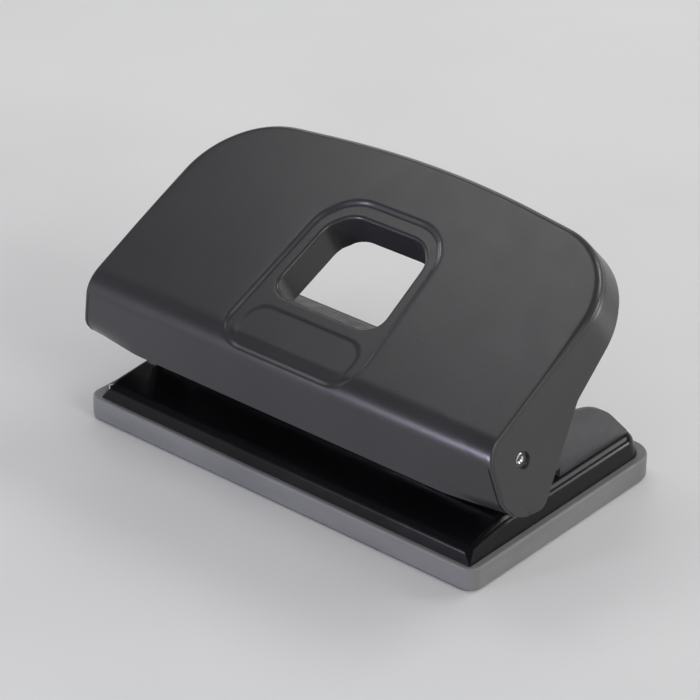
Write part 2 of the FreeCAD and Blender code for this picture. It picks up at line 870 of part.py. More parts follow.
def panel_outline(grow):
    """Outline of the sunk panel, let out by grow."""
    low = f"panel_half_low + ({grow})"
    high = f"panel_half_high + ({grow})"
    return [
        (f"-({low})", f"panel_low - ({grow})", f"panel_round_low + ({grow})"),
        (low, f"panel_low - ({grow})", f"panel_round_low + ({grow})"),
        (high, f"panel_high + ({grow})", f"panel_round_high + ({grow})"),
        (f"-({high})", f"panel_high + ({grow})", f"panel_round_high + ({grow})"),
    ]


def sink(name, solid, outline, inset):
    """Press an outline's area of a handle solid down to a deeper inset."""
    area = plate_prism(f"{name}Area", outline, "bend_radius + 1", "1")
    floor = side_block(f"{name}Floor", inset)
    spoil = combine("Cut", f"{name}Spoil", area, floor)
    return combine("Cut", name, solid, spoil)


def trim_outline():
    """Seen from the side, the region that keeps the apron, the lobes and the flange."""
    lobe_low = "pivot_z - lobe_drop"
    return [
        ("-bend_reach - form_depth", "apron_bottom"),
        ("pivot_y - lobe_front - shell_sheet", "apron_bottom", "shell_sheet / 2"),
        ("pivot_y - lobe_toe", lobe_low, "lobe_round"),
        ("pivot_y + lobe_heel", lobe_low, "lobe_round"),
        plate_point("neck_run", "neck_drop") + ("neck_round",),
        plate_point("hip_run", "hip_drop") + ("hip_round",),
        plate_point("flange_run", "flange_drop") + ("flange_round",),
        plate_point("form_depth * 2", "flange_drop"),
        plate_point("form_depth * 2", "-form_depth"),
        ("-bend_reach - form_depth", "plate_height + form_depth"),
    ]


def make_handle_shell():
    """Pressed lever of even sheet with its window collar and sunk panel."""
    outer = round_handle("ShellOuter", handle_block("ShellOuterCore", "0"), "plate_edge_round")
    outer = sink("PanelSunk", outer, panel_outline("0"), "panel_sink")
    label = [
        ("-label_half", "label_low", "label_round"),
        ("label_half", "label_low", "label_round"),
        ("label_half", "label_high", "label_round"),
        ("-label_half", "label_high", "label_round"),
    ]
    outer = sink("LabelSunk", outer, label, "panel_sink + label_sink")
    inner = handle_block("ShellInner", "shell_sheet")
    inner = sink("PanelUnder", inner, panel_outline("shell_sheet"), "panel_sink + shell_sheet")
    skin = combine("Cut", "ShellSkin", outer, inner)
    keep = new_body("ShellKeep")
    pad(keep, "KeepPrism", "YZ_Plane", trim_outline(), "(plate_half_low + form_depth) * 2", middle=True)
    shell = combine("Common", "ShellTrimmed", skin, keep)
    collar = plate_prism("CollarWall", window_outline("shell_sheet"), "collar_drop - panel_sink", "-panel_sink")
    shell = combine("Fuse", "ShellWithCollar", shell, collar)
    window = plate_prism("WindowHole", window_outline("0"), "collar_drop * 3", "collar_drop")
    shell = combine("Cut", "ShellWithWindow", shell, window)
    holes = doc.addObject("Part::Cylinder", "CheekHoles")
    tie(holes, "Radius", "cheek_hole")
    tie(holes, "Height", "plate_half_low * 4")
    holes.Placement = FreeCAD.Placement(FreeCAD.Vector(), FreeCAD.Rotation(FreeCAD.Vector(0, 1, 0), 90))
    move(holes, "-plate_half_low * 2", "pivot_y", "pivot_z")
    return combine("Cut", "handle_shell", shell, holes)


# Press levers
def make_lever(side, sign):
    """Folded bracket welded under the shell: cheek on the shaft, pad over the punch, top tab."""
    body = new_body(f"{side}_lever")
    inner = "lever_in" if sign > 0 else "-lever_out"
    web = [
        ("pivot_y", "pivot_z", "lever_boss", "boss"),
        ("punch_y + lever_pad_back", "lever_pad_z"),
        plate_point("lever_tab_high", "shell_sheet + lever_sheet"),
        plate_point("lever_tab_high", "shell_sheet"),
        plate_point("lever_tab_low", "shell_sheet"),
    ]
    pad(body, f"{side}Web", "YZ_Plane", web, "lever_sheet", inner)
    drill(body, f"{side}Bore", "YZ_Plane", [("pivot_y", "pivot_z")], "shaft_radius + running_fit",
          "lever_out * 3", middle=True)
    reach = "lever_in - punch_x + lever_pad_reach"
    start = "punch_x - lever_pad_reach" if sign > 0 else "-lever_in"
    press = [
        ("punch_y - lever_pad_front", "lever_pad_z", "lever_pad_edge"),
        ("punch_y + lever_pad_back", "lever_pad_z", "lever_pad_edge"),
        ("punch_y + lever_pad_back", "lever_pad_z + lever_sheet"),
        ("punch_y - lever_pad_front", "lever_pad_z + lever_sheet"),
    ]
    pad(body, f"{side}Pad", "YZ_Plane", press, reach, start)
    tab = [
        plate_point("lever_tab_high", "shell_sheet + lever_sheet"),
        plate_point("lever_tab_high", "shell_sheet"),
        plate_point("lever_tab_low", "shell_sheet"),
        plate_point("lever_tab_low", "shell_sheet + lever_sheet"),
    ]
    tab_start = "lever_in - lever_tab_reach" if sign > 0 else "-lever_in"
    pad(body, f"{side}Tab", "YZ_Plane", tab, "lever_tab_reach", tab_start)
    return body


# Punches and springs
def make_punch_set(side, sign):
    """Punch with its hollow cutting end, ring groove, seat washer and spring ring."""
    across = "punch_x * %d" % sign
    punch = new_body(f"{side}_punch")
    core = "punch_radius - ring_groove"
    profile = [
        ("0", "punch_tip + punch_hollow"),
        ("punch_radius", "punch_tip"),
        ("punch_radius", "seat_top - ring_play"),
        (core, "seat_top - ring_play"),
        (core, "ring_top + ring_play"),
        ("punch_radius", "ring_top + ring_play"),
        ("punch_radius", "punch_top - punch_bevel"),
        ("punch_radius - punch_bevel", "punch_top"),
        ("0", "punch_top"),
    ]
    turn(punch, f"{side}PunchTurn", profile)
    seat = new_body(f"{side}_spring_seat")
    ring(seat, f"{side}SeatTurn", "punch_radius + guide_fit", "punch_radius + seat_lap", "spring_top", "seat_top")
    clip = slotted_ring(f"{side}_circlip", f"{core} + guide_fit", "punch_radius + ring_lap",
                        "seat_top", "ring_top", "ring_mouth")
    for body in (punch, seat, clip):
        move(body, across, "punch_y")
    return [punch, seat, clip]


def coil_point(turns, radius, pitch):
    """Point and direction on a helix after a number of turns."""
    angle = 2 * math.pi * turns
    point = FreeCAD.Vector(radius * math.cos(angle), radius * math.sin(angle), pitch * turns)
    ahead = FreeCAD.Vector(-radius * math.sin(angle), radius * math.cos(angle), pitch / (2 * math.pi))
    return point, ahead.normalize()


def bent_edge(start, turn_point, end):
    """Arc from start to end whose end tangents meet at turn_point."""
    chord = end - start
    half = (turn_point - start).getAngle(chord)
    radius = chord.Length / (2 * math.sin(half))
    middle = (start + end) * 0.5
    rise = radius * (1 - math.cos(half))
    return Part.Arc(start, middle + (turn_point - middle).normalize() * rise, end).toShape()


def biarc(start, ahead, end, onward):
    """Two arcs that join two points along given directions."""
    chord = end - start
    both = ahead + onward
    spread = 2 * (1 - ahead.dot(onward))
    pull = chord.dot(both)
    reach = (math.sqrt(pull * pull + spread * chord.dot(chord)) - pull) / spread
    first = start + ahead * reach
    second = end - onward * reach
    joint = (first + second) * 0.5
    return [bent_edge(start, first, joint), bent_edge(joint, second, end)]


def wire_section(middle, ahead, radius):
    """Many-sided section of the spring's wire, square to its direction."""
    side = ahead.cross(FreeCAD.Vector(0, 0, 1)).normalize()
    turn_by = FreeCAD.Rotation(ahead, 360 / SPRING_WIRE_SIDES)
    spokes = [side * radius]
    for count in range(SPRING_WIRE_SIDES):
        spokes.append(turn_by.multVec(spokes[-1]))
    return Part.makePolygon([middle + spoke for spoke in spokes])


def make_spring(side, sign):
    """Compression spring between the lower guide and the seat washer."""
    wire = number("spring_wire")
    radius = number("spring_radius")
    turns = number("spring_turns")
    low = number("guide_top + spring_gap + spring_wire / 2")
    high = number("spring_top - spring_gap - spring_wire / 2")
    pitch = (high - low) / turns
    edges = []
    stations = int(math.ceil(turns / SPRING_ARC_TURN))
    for step in range(stations):
        here, ahead = coil_point(turns * step / stations, radius, pitch)
        there, onward = coil_point(turns * (step + 1) / stations, radius, pitch)
        edges += biarc(here, ahead, there, onward)
    start, ahead = coil_point(0, radius, pitch)
    mouth = wire_section(start, ahead, wire / 2)
    tube = Part.BRepOffsetAPI.MakePipeShell(Part.Wire(edges))
    tube.add(mouth)
    tube.build()
    tube.makeSolid()
    feature = doc.addObject("Part::Feature", f"{side}_spring")
    feature.Label = f"{side}_spring"
    feature.Shape = tube.shape()
    feature.Placement = FreeCAD.Placement(
        FreeCAD.Vector(number("punch_x") * sign, number("punch_y"), low), FreeCAD.Rotation()
    )
    print(f"{side}_spring gap between turns {pitch - wire:.2f} mm over {turns:g} turns")
    return feature


def build():
    """Make every piece and return them in a list."""
    pieces = [
        make_chip_tray(),
        make_base_plate(),
        make_die_strip(),
        make_punch_frame(),
        make_lower_guide(),
        make_frame_rivets(),
        make_pivot_shaft(),
        make_handle_shell(),
    ]
    for side, sign in (("left", -1), ("right", 1)):
        pieces += make_shaft_rings(side, sign)
        pieces.append(make_lever(side, sign))
        pieces += make_punch_set(side, sign)
        pieces.append(make_spring(side, sign))
    return pieces


def check_document():
    """Stop if any object of the document failed."""
    for thing in doc.Objects:
        bad = [state for state in thing.State if state in ("Invalid", "Error")]
        if bad:
            raise RuntimeError(f"{thing.Label} is {bad}")


def export(pieces):
    """Check each piece and write it to its own file."""
    os.makedirs("parts", exist_ok=True)
    for piece in pieces:
        shape = piece.Shape
        if shape.isNull() or not shape.isValid():
            raise RuntimeError(f"{piece.Label} has no valid shape")
        shape.exportStep(os.path.join("parts", f"{piece.Label}.step"))
        print(f"{piece.Label}: {len(shape.Solids)} solid(s), {shape.Volume:.1f} mm3")


parts = build()
doc.recompute()
check_document()
export(parts)
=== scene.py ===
import json
import logging
import math
from dataclasses import dataclass
from enum import Enum
from typing import Callable

import bmesh
import bpy
from mathutils import Matrix, Vector


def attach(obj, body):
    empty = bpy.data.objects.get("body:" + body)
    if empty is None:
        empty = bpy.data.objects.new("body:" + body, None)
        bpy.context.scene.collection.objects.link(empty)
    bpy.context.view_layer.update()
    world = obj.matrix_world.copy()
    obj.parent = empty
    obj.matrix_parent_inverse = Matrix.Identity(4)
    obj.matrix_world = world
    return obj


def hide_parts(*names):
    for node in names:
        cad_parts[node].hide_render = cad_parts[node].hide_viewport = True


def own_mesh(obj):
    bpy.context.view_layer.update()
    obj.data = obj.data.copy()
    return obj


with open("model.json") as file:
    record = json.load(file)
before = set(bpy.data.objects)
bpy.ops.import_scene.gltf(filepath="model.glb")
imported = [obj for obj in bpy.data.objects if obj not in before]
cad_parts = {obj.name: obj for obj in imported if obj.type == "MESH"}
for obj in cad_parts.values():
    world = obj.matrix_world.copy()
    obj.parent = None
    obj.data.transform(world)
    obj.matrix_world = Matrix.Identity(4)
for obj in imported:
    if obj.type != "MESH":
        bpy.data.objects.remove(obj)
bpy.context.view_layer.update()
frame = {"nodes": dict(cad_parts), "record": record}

MM = 0.001
LOG = logging.getLogger("hole_punch")

# Short names of types
Piece = bpy.types.Object
Edge = bmesh.types.BMEdge
Material = bpy.types.Material
Socket = bpy.types.NodeSocket
Colour = tuple[float, float, float]
Outline = list[tuple[float, float]]
Ring = list[Vector]

# Places that several pieces share, in millimetres
PIVOT = (-19.95, 26.7)
PUNCH_X = 40.0
PUNCH_Y = -9.75


class Element(Enum):
    """What an edit-mode selection is made of."""

    EDGE = "EDGE"
    FACE = "FACE"


class Cut(Enum):
    """How a boolean tool changes a piece."""

    KEEP_INSIDE = "INTERSECT"
    TAKE_AWAY = "DIFFERENCE"
    JOIN = "UNION"


# Edit-mode helpers


def select_only(piece: Piece) -> None:
    """Select one object, and nothing else, in object mode."""
    if bpy.context.object and bpy.context.object.mode != "OBJECT":
        bpy.ops.object.mode_set(mode="OBJECT")
    bpy.ops.object.select_all(action="DESELECT")
    piece.hide_set(False)
    piece.select_set(True)
    bpy.context.view_layer.objects.active = piece


def start_edit(piece: Piece) -> bmesh.types.BMesh:
    """Open a piece for editing with nothing selected.

    Args:
        piece: The piece to open.

    Returns:
        The edit mesh.
    """
    select_only(piece)
    bpy.ops.object.mode_set(mode="EDIT")
    bpy.ops.mesh.select_all(action="DESELECT")
    return bmesh.from_edit_mesh(piece.data)


def end_edit() -> None:
    """Go back to object mode."""
    bpy.ops.object.mode_set(mode="OBJECT")


def indexed(piece: Piece) -> bmesh.types.BMesh:
    """Give the edit mesh of a piece in edit mode, with its vertices ready to be counted off."""
    mesh = bmesh.from_edit_mesh(piece.data)
    mesh.verts.ensure_lookup_table()
    return mesh


def pick(piece: Piece, element: Element, wanted: Callable[..., bool]) -> None:
    """Select the elements of a piece in edit mode that a test picks.

    Args:
        piece: The piece in edit mode.
        element: What is selected.
        wanted: The test on one element.
    """
    bpy.ops.mesh.select_mode(type=element.value)
    bpy.ops.mesh.select_all(action="DESELECT")
    mesh = bmesh.from_edit_mesh(piece.data)
    found = [item for item in (mesh.edges if element is Element.EDGE else mesh.faces) if wanted(item)]
    for item in found:
        item.select_set(True)
    bmesh.update_edit_mesh(piece.data)


def ease(share: float) -> float:
    """Ease a share from 0 to 1, held at its ends."""
    held = min(max(share, 0.0), 1.0)
    return held * held * (3 - 2 * held)


def middle(edge: Edge) -> Vector:
    """Give the middle of an edge."""
    return (edge.verts[0].co + edge.verts[1].co) / 2


def along(edge: Edge) -> Vector:
    """Give an edge's direction."""
    return (edge.verts[1].co - edge.verts[0].co).normalized()


def upright(edge: Edge) -> bool:
    """Tell whether an edge stands upright."""
    return abs(along(edge).z) > 0.9


def between(first: list[float], second: list[float], share: float) -> list[float]:
    """Blend two lists of numbers."""
    return [a + (b - a) * share for a, b in zip(first, second)]


def bevel(width: float, segments: int) -> None:
    """Round the selected edges by a width in millimetres."""
    bpy.ops.mesh.bevel(offset=width * MM, segments=segments, profile=0.5, clamp_overlap=False)


def round_edges(piece: Piece, wanted: Callable[..., bool], width: float, segments: int) -> None:
    """Round the edges of a piece in edit mode that a test picks.

    Args:
        piece: The piece in edit mode.
        wanted: The test on one edge.
        width: The rounding's width in millimetres.
        segments: The rounding's segments.
    """
    pick(piece, Element.EDGE, wanted)
    bevel(width, segments)


def add_block(name: str, low: tuple, high: tuple) -> Piece:
    """Add a box between two corners in millimetres, with its place in its mesh.

    Args:
        name: The piece's name.
        low: The lowest corner.
        high: The highest corner.

    Returns:
        The new piece.
    """
    centre = [(a + b) / 2 * MM for a, b in zip(low, high)]
    size = [(b - a) * MM for a, b in zip(low, high)]
    bpy.ops.mesh.primitive_cube_add(size=1, location=centre, scale=size)
    return settle(bpy.context.object, name)


def add_rod(name: str, centre: tuple, radius: float, length: float, axis: str, sides: int = 64) -> Piece:
    """Add a round bar in millimetres, with its place in its mesh.

    Args:
        name: The piece's name.
        centre: The bar's middle.
        radius: Its radius.
        length: Its length.
        axis: The axis that it lies along, X or Z.
        sides: How many sides it has.

    Returns:
        The new piece.
    """
    turn = (0, math.pi / 2, 0) if axis == "X" else (0, 0, 0)
    bpy.ops.mesh.primitive_cylinder_add(vertices=sides, radius=radius * MM, depth=length * MM,
                                        location=[c * MM for c in centre], rotation=turn)
    return settle(bpy.context.object, name)


def settle(piece: Piece, name: str) -> Piece:
    """Name a new piece and put its place into its mesh."""
    piece.name = name
    piece.data.name = name
    select_only(piece)
    bpy.ops.object.transform_apply(location=True, rotation=True, scale=True)
    return piece


def modify(piece: Piece, kind: str, **settings: object) -> None:
    """Add a modifier with settings and apply it."""
    select_only(piece)
    modifier = piece.modifiers.new(kind.title(), kind)
    for key, value in settings.items():
        setattr(modifier, key, value)
    bpy.ops.object.modifier_apply(modifier=modifier.name)


def cut_with(piece: Piece, tool: Piece, how: Cut) -> None:
    """Cut a piece with a tool, and take the tool away."""
    modify(piece, "BOOLEAN", operation=how.value, object=tool, solver="MANIFOLD")
    bpy.data.objects.remove(tool, do_unlink=True)


def smooth(piece: Piece, degrees: float = 32.0) -> None:
    """Shade a piece smooth up to an angle."""
    select_only(piece)
    bpy.ops.object.shade_smooth_by_angle(angle=math.radians(degrees))


def face_outwards(piece: Piece) -> None:
    """Turn all the faces of a closed piece outwards."""
    start_edit(piece)
    bpy.ops.mesh.select_all(action="SELECT")
    bpy.ops.mesh.normals_make_consistent(inside=False)
    end_edit()


def rounded_outline(corners: list[tuple[float, float, float]], step: float) -> Outline:
    """Points round a closed outline whose corners are rounded.

    Args:
        corners: Two coordinates and a radius for each corner, anticlockwise.
        step: The longest chord of an arc, in millimetres.

    Returns:
        The points, as pairs.
    """
    points = []
    for index, (x, y, radius) in enumerate(corners):
        here = Vector((x, y))
        back = (Vector(corners[index - 1][:2]) - here).normalized()
        onward = (Vector(corners[(index + 1) % len(corners)][:2]) - here).normalized()
        if radius <= 0:
            points.append((x, y))
            continue
        half = back.angle(onward) / 2
        centre = here + (back + onward).normalized() * (radius / math.sin(half))
        start = here + back * (radius / math.tan(half)) - centre
        end = here + onward * (radius / math.tan(half)) - centre
        turn = math.atan2(start.x * end.y - start.y * end.x, start.dot(end))
        count = max(2, math.ceil(abs(turn) * radius / step))
        first = math.atan2(start.y, start.x)
        for part in range(count + 1):
            angle = first + turn * part / count
            points.append((centre.x + radius * math.cos(angle), centre.y + radius * math.sin(angle)))
    return points


def add_ring(name: str, points: Ring, filled: bool) -> Piece:
    """Add a closed ring of vertices and leave it in edit mode.

    Args:
        name: The piece's name.
        points: The ring's points in millimetres.
        filled: Whether a face closes the ring.

    Returns:
        The new piece.
    """
    fill = "NGON" if filled else "NOTHING"
    bpy.ops.mesh.primitive_circle_add(vertices=len(points), radius=0.1, fill_type=fill)
    piece = settle(bpy.context.object, name)
    for vertex, point in zip(start_edit(piece).verts, points):
        vertex.co = point * MM
    bmesh.update_edit_mesh(piece.data)
    return piece


def grow_strip(piece: Piece, indices: list[int], points: Ring, closed: bool) -> list[int]:
    """Extrude a chain of vertices once and put the new ones at their points.

    Args:
        piece: The piece in edit mode.
        indices: The chain's vertex indices.
        points: The new chain's points in millimetres.
        closed: Whether the chain closes on itself.

    Returns:
        The new chain's vertex indices.
    """
    chain = set(indices)
    pairs = {frozenset(pair) for pair in zip(indices, indices[1:])}
    if closed:
        pairs.add(frozenset((indices[-1], indices[0])))
    bpy.ops.mesh.select_mode(type="EDGE")
    bpy.ops.mesh.select_all(action="DESELECT")
    mesh = indexed(piece)
    for index in indices:
        for edge in mesh.verts[index].link_edges:
            if frozenset((edge.verts[0].index, edge.verts[1].index)) in pairs:
                edge.select_set(True)
    bmesh.update_edit_mesh(piece.data)
    bpy.ops.mesh.extrude_edges_move(TRANSFORM_OT_translate={"value": (0, 0, 0)})
    mesh = indexed(piece)
    mesh.verts.index_update()
    grown = []
    for index, point in zip(indices, points):
        old = mesh.verts[index]
        ends = (edge.other_vert(old) for edge in old.link_edges)
        new = next(end for end in ends if end.select and end.index not in chain)
        new.co = point * MM
        grown.append(new.index)
    bmesh.update_edit_mesh(piece.data)
    return grown


def add_slab(name: str, outline: Outline, half: float) -> Piece:
    """Extrude an outline seen from the side right across the punch.

    Args:
        name: The piece's name.
        outline: The outline's points, as pairs of y and z.
        half: How far the slab reaches to each side, in millimetres.

    Returns:
        The closed slab.
    """
    slab = add_ring(name, [Vector((-half, y, z)) for y, z in outline], True)
    bpy.ops.mesh.select_all(action="SELECT")
    bpy.ops.mesh.extrude_region_move(TRANSFORM_OT_translate={"value": (2 * half * MM, 0, 0)})
    end_edit()
    face_outwards(slab)
    return slab


def soft_copy(node: str, edge: float) -> Piece:
    """Copy a CAD node, join its loose triangles and soften its edges of more than 40 degrees.

    Args:
        node: The node's name.
        edge: The width of the softened edges in millimetres.

    Returns:
        The new piece, which replaces the node.
    """
    source = frame["nodes"][node]
    piece = source.copy()
    piece.data = source.data.copy()
    piece.animation_data_clear()
    bpy.context.scene.collection.objects.link(piece)
    piece.parent = None
    piece.matrix_world = Matrix.Identity(4)
    piece.name = f"{node}_dressed"
    piece.data.name = piece.name
    start_edit(piece)
    bpy.ops.mesh.select_all(action="SELECT")
    bpy.ops.mesh.remove_doubles(threshold=0.004 * MM)
    bpy.ops.mesh.dissolve_limited(angle_limit=math.radians(0.4), delimit={"NORMAL"})
    end_edit()
    modify(piece, "BEVEL", width=edge * MM, segments=2, limit_method="ANGLE", angle_limit=math.radians(40.0),
           use_clamp_overlap=True, miter_outer="MITER_ARC")
    smooth(piece)
    return piece


def dress(piece: Piece, material: Material, body: str, node: str) -> None:
    """Give a finished piece its material in its slot and its body, and hide the node that it stands for."""
    piece.data.materials.clear()
    piece.data.materials.append(material)
    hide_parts(node)
    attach(piece, body)
    LOG.info("%s: %d faces on %s", piece.name, len(piece.data.polygons), body)


# Finishes


class Graph:
    """The node tree of a material or world, built one node at a time."""

    def __init__(self, owner: Material | bpy.types.World) -> None:
        """Start on the tree of a new material or world."""
        owner.use_nodes = True
        self.owner = owner
        self.tree = owner.node_tree
        self.coordinates = self.tree.nodes.new("ShaderNodeTexCoord").outputs
        self.place = self.coordinates["Object"]

    def feed(self, socket: Socket, value: object) -> None:
        """Link an input to another node's output, or set its value."""
        if isinstance(value, Socket):
            self.tree.links.new(value, socket)
        else:
            socket.default_value = value

    def add(self, kind: str, **inputs: object) -> bpy.types.Node:
        """Add a node with its inputs.

        Args:
            kind: The node's type.
            inputs: Values or sockets, by input name with underscores for spaces.

        Returns:
            The new node.
        """
        node = self.tree.nodes.new(kind)
        for key, value in inputs.items():
            self.feed(node.inputs[key.replace("_", " ")], value)
        return node

    def noise(self, grain: float, detail: float = 2.0, stretch: tuple = (1, 1, 1),
              rough: float = 0.5) -> Socket:
        """Noise whose grain is given in millimetres.

        Args:
            grain: The grain's size.
            detail: How many finer layers it has.
            stretch: How much finer it is along each axis.
            rough: How strong the finer layers are.

        Returns:
            The noise's value socket.
        """
        mapping = self.add("ShaderNodeMapping", Vector=self.place, Scale=stretch)
        texture = self.add("ShaderNodeTexNoise", Vector=mapping.outputs["Vector"], Scale=1 / (grain * MM),
                           Detail=detail, Roughness=rough)
        return texture.outputs["Fac"]

    def remap(self, value: Socket, low: float, high: float, to_low: float = 0.0,
              to_high: float = 1.0) -> Socket:
        """Map a value from one range to another, held at its ends."""
        node = self.add("ShaderNodeMapRange", Value=value, From_Min=low, From_Max=high, To_Min=to_low,
                        To_Max=to_high)
        return node.outputs["Result"]

    def vary(self, noise: Socket, value: float, less: float, more: float) -> Socket:
        """Let a value wander with noise, from less below it to more above it."""
        return self.remap(noise, 0.3, 0.7, value - less, value + more)

    def blend(self, factor: Socket, first: Socket | Colour, second: Socket | Colour) -> Socket:
        """Blend two colours, given as sockets or as triples."""
        node = self.tree.nodes.new("ShaderNodeMix")
        node.data_type = "RGBA"
        for index, value in ((0, factor), (6, first), (7, second)):
            self.feed(node.inputs[index], value if isinstance(value, Socket) else (*value, 1.0))
        return node.outputs[2]

    def bump(self, height: Socket, depth: float, strength: float, normal: Socket | None = None) -> Socket:
        """Bump of a depth in millimetres over an optional earlier normal."""
        node = self.add("ShaderNodeBump", Height=height, Distance=depth * MM, Strength=strength)
        if normal is not None:
            self.feed(node.inputs["Normal"], normal)
        return node.outputs["Normal"]

    def finish(self, colour: Socket, roughness: Socket | float, normal: Socket | None = None,
               **uniform: float) -> Material:
        """Join colour, roughness and normal to the shader and set its uniform values."""
        inputs = {"Base_Color": colour, "Roughness": roughness, "Normal": normal, **uniform}
        for key, value in inputs.items():
            if value is not None:
                self.feed(self.tree.nodes["Principled BSDF"].inputs[key.replace("_", " ")], value)
        return self.owner


@dataclass(frozen=True)
class PowderCoat:
    """Baked powder paint: dark and satin, with fine grains painted lighter as painted glints."""

    name: str = "powder_coat"
    shade: Colour = (0.029, 0.029, 0.030)
    light: Colour = (0.038, 0.038, 0.040)
    painted_glint: Colour = (0.043, 0.043, 0.048)
    grain: float = 0.24
    peel: float = 1.4
    depth: float = 0.012
    roughness: float = 0.29

    def build(self) -> Material:
        """Make the material."""
        graph = Graph(bpy.data.materials.new(self.name))
        cloud = graph.remap(graph.noise(22.0, 3.0), 0.35, 0.65, to_high=0.55)
        grains = graph.add("ShaderNodeTexVoronoi", Vector=graph.place, Scale=1 / (self.grain * MM))
        # Painted glints: a share of the fine grains is painted lighter to stand in for the powder's sparkle
        # in the light
        painted_glint = graph.remap(grains.outputs["Color"], 0.80, 0.98, to_high=0.8)
        colour = graph.blend(cloud, self.shade, self.light)
        colour = graph.blend(painted_glint, colour, self.painted_glint)
        rough = graph.vary(graph.noise(6.0, 4.0), self.roughness, 0.015, 0.02)
        fine = graph.bump(grains.outputs["Distance"], self.depth, 0.7)
        normal = graph.bump(graph.noise(self.peel, 1.0), self.depth, 0.1, fine)
        return graph.finish(colour, rough, normal, Specular_IOR_Level=0.5)


@dataclass(frozen=True)
class GlossPaint:
    """Glossy black stove enamel with a faint flow and hairline rubs."""

    name: str = "gloss_black_paint"
    shade: Colour = (0.0045, 0.0045, 0.0052)
    rub: Colour = (0.009, 0.009, 0.010)
    roughness: float = 0.17

    def build(self) -> Material:
        """Make the material."""
        graph = Graph(bpy.data.materials.new(self.name))
        haze = graph.remap(graph.noise(14.0, 4.0), 0.35, 0.7, self.roughness - 0.03, self.roughness + 0.10)
        rubs = graph.remap(graph.noise(0.35, stretch=(0.08, 1.0, 1.0)), 0.62, 0.75)
        colour = graph.blend(rubs, self.shade, self.rub)
        flow = graph.bump(graph.noise(3.5, 1.0), 0.008, 0.3)
        normal = graph.bump(rubs, 0.001, 0.2, flow)
        return graph.finish(colour, haze, normal, Specular_IOR_Level=0.22)


@dataclass(frozen=True)
class SatinPaint:
    """Thin dark grey paint on folded steel, a little worn at random."""

    name: str = "dark_paint"
    shade: Colour = (0.042, 0.042, 0.045)
    light: Colour = (0.058, 0.058, 0.062)
    roughness: float = 0.38

    def build(self) -> Material:
        """Make the material."""
        graph = Graph(bpy.data.materials.new(self.name))
        colour = graph.blend(graph.remap(graph.noise(9.0, 4.0), 0.35, 0.65), self.shade, self.light)
        rough = graph.vary(graph.noise(2.5, 4.0), self.roughness, 0.06, 0.10)
        normal = graph.bump(graph.noise(0.28), 0.010, 0.5)
        return graph.finish(colour, rough, normal)


@dataclass(frozen=True)
class GreyPlastic:
    """Moulded grey plastic with a fine eroded texture and slight scuffs."""

    name: str = "tray_plastic"
    shade: Colour = (0.150, 0.150, 0.150)
    light: Colour = (0.190, 0.189, 0.186)
    scuff: Colour = (0.235, 0.233, 0.228)
    roughness: float = 0.50

    def build(self) -> Material:
        """Make the material."""
        graph = Graph(bpy.data.materials.new(self.name))
        flow = graph.remap(graph.noise(12.0, 4.0, (0.4, 0.4, 2.0)), 0.35, 0.65)
        colour = graph.blend(flow, self.shade, self.light)
        scuffs = graph.remap(graph.noise(1.6, 6.0, rough=0.7), 0.60, 0.72, to_high=0.45)
        colour = graph.blend(scuffs, colour, self.scuff)
        rough = graph.vary(graph.noise(4.0, 3.0), self.roughness, 0.07, 0.08)
        normal = graph.bump(graph.noise(0.22), 0.014, 0.6)
        return graph.finish(colour, rough, normal, Specular_IOR_Level=0.45)


@dataclass(frozen=True)
class Steel:
    """Bare or plated steel, brushed along one axis."""

    name: str
    shade: Colour = (0.52, 0.52, 0.51)
    light: Colour = (0.66, 0.66, 0.65)
    roughness: float = 0.30
    grain: float = 0.12
    stretch: tuple = (0.06, 1.0, 1.0)
    depth: float = 0.004

    def build(self) -> Material:
        """Make the material."""
        graph = Graph(bpy.data.materials.new(self.name))
        brush = graph.noise(self.grain, 3.0, self.stretch)
        cloud = graph.remap(graph.noise(5.0, 4.0), 0.35, 0.65)
        colour = graph.blend(cloud, self.shade, self.light)
        rough = graph.vary(brush, self.roughness, 0.07, 0.09)
        normal = graph.bump(brush, self.depth, 0.5)
        return graph.finish(colour, rough, normal, Metallic=1.0)


FINISHES = (
    PowderCoat(), GlossPaint(), SatinPaint(), GreyPlastic(), Steel("plated_steel"),
    Steel("bright_steel", (0.62, 0.62, 0.62), (0.74, 0.74, 0.74), roughness=0.20, grain=0.10,
          stretch=(1, 1, 1), depth=0.002),
    Steel("spring_steel", (0.36, 0.36, 0.37), (0.48, 0.48, 0.49), roughness=0.32, grain=0.08,
          stretch=(1, 1, 1), depth=0.003),
)

# Width of the softened edges of the CAD nodes that are kept, in millimetres
SOFT_EDGES = {"punch_frame": 0.30, "lower_guide": 0.20, "die_strip": 0.20}

# The same for what is there twice
SOFT_PAIRS = {"lever": 0.18, "punch": 0.12, "spring_seat": 0.08, "circlip": 0.08, "shaft_washer": 0.08,
              "shaft_clip": 0.08}
SOFT_EDGES |= {f"{side}_{kind}": edge for kind, edge in SOFT_PAIRS.items() for side in ("left", "right")}


# Sub-assemblies


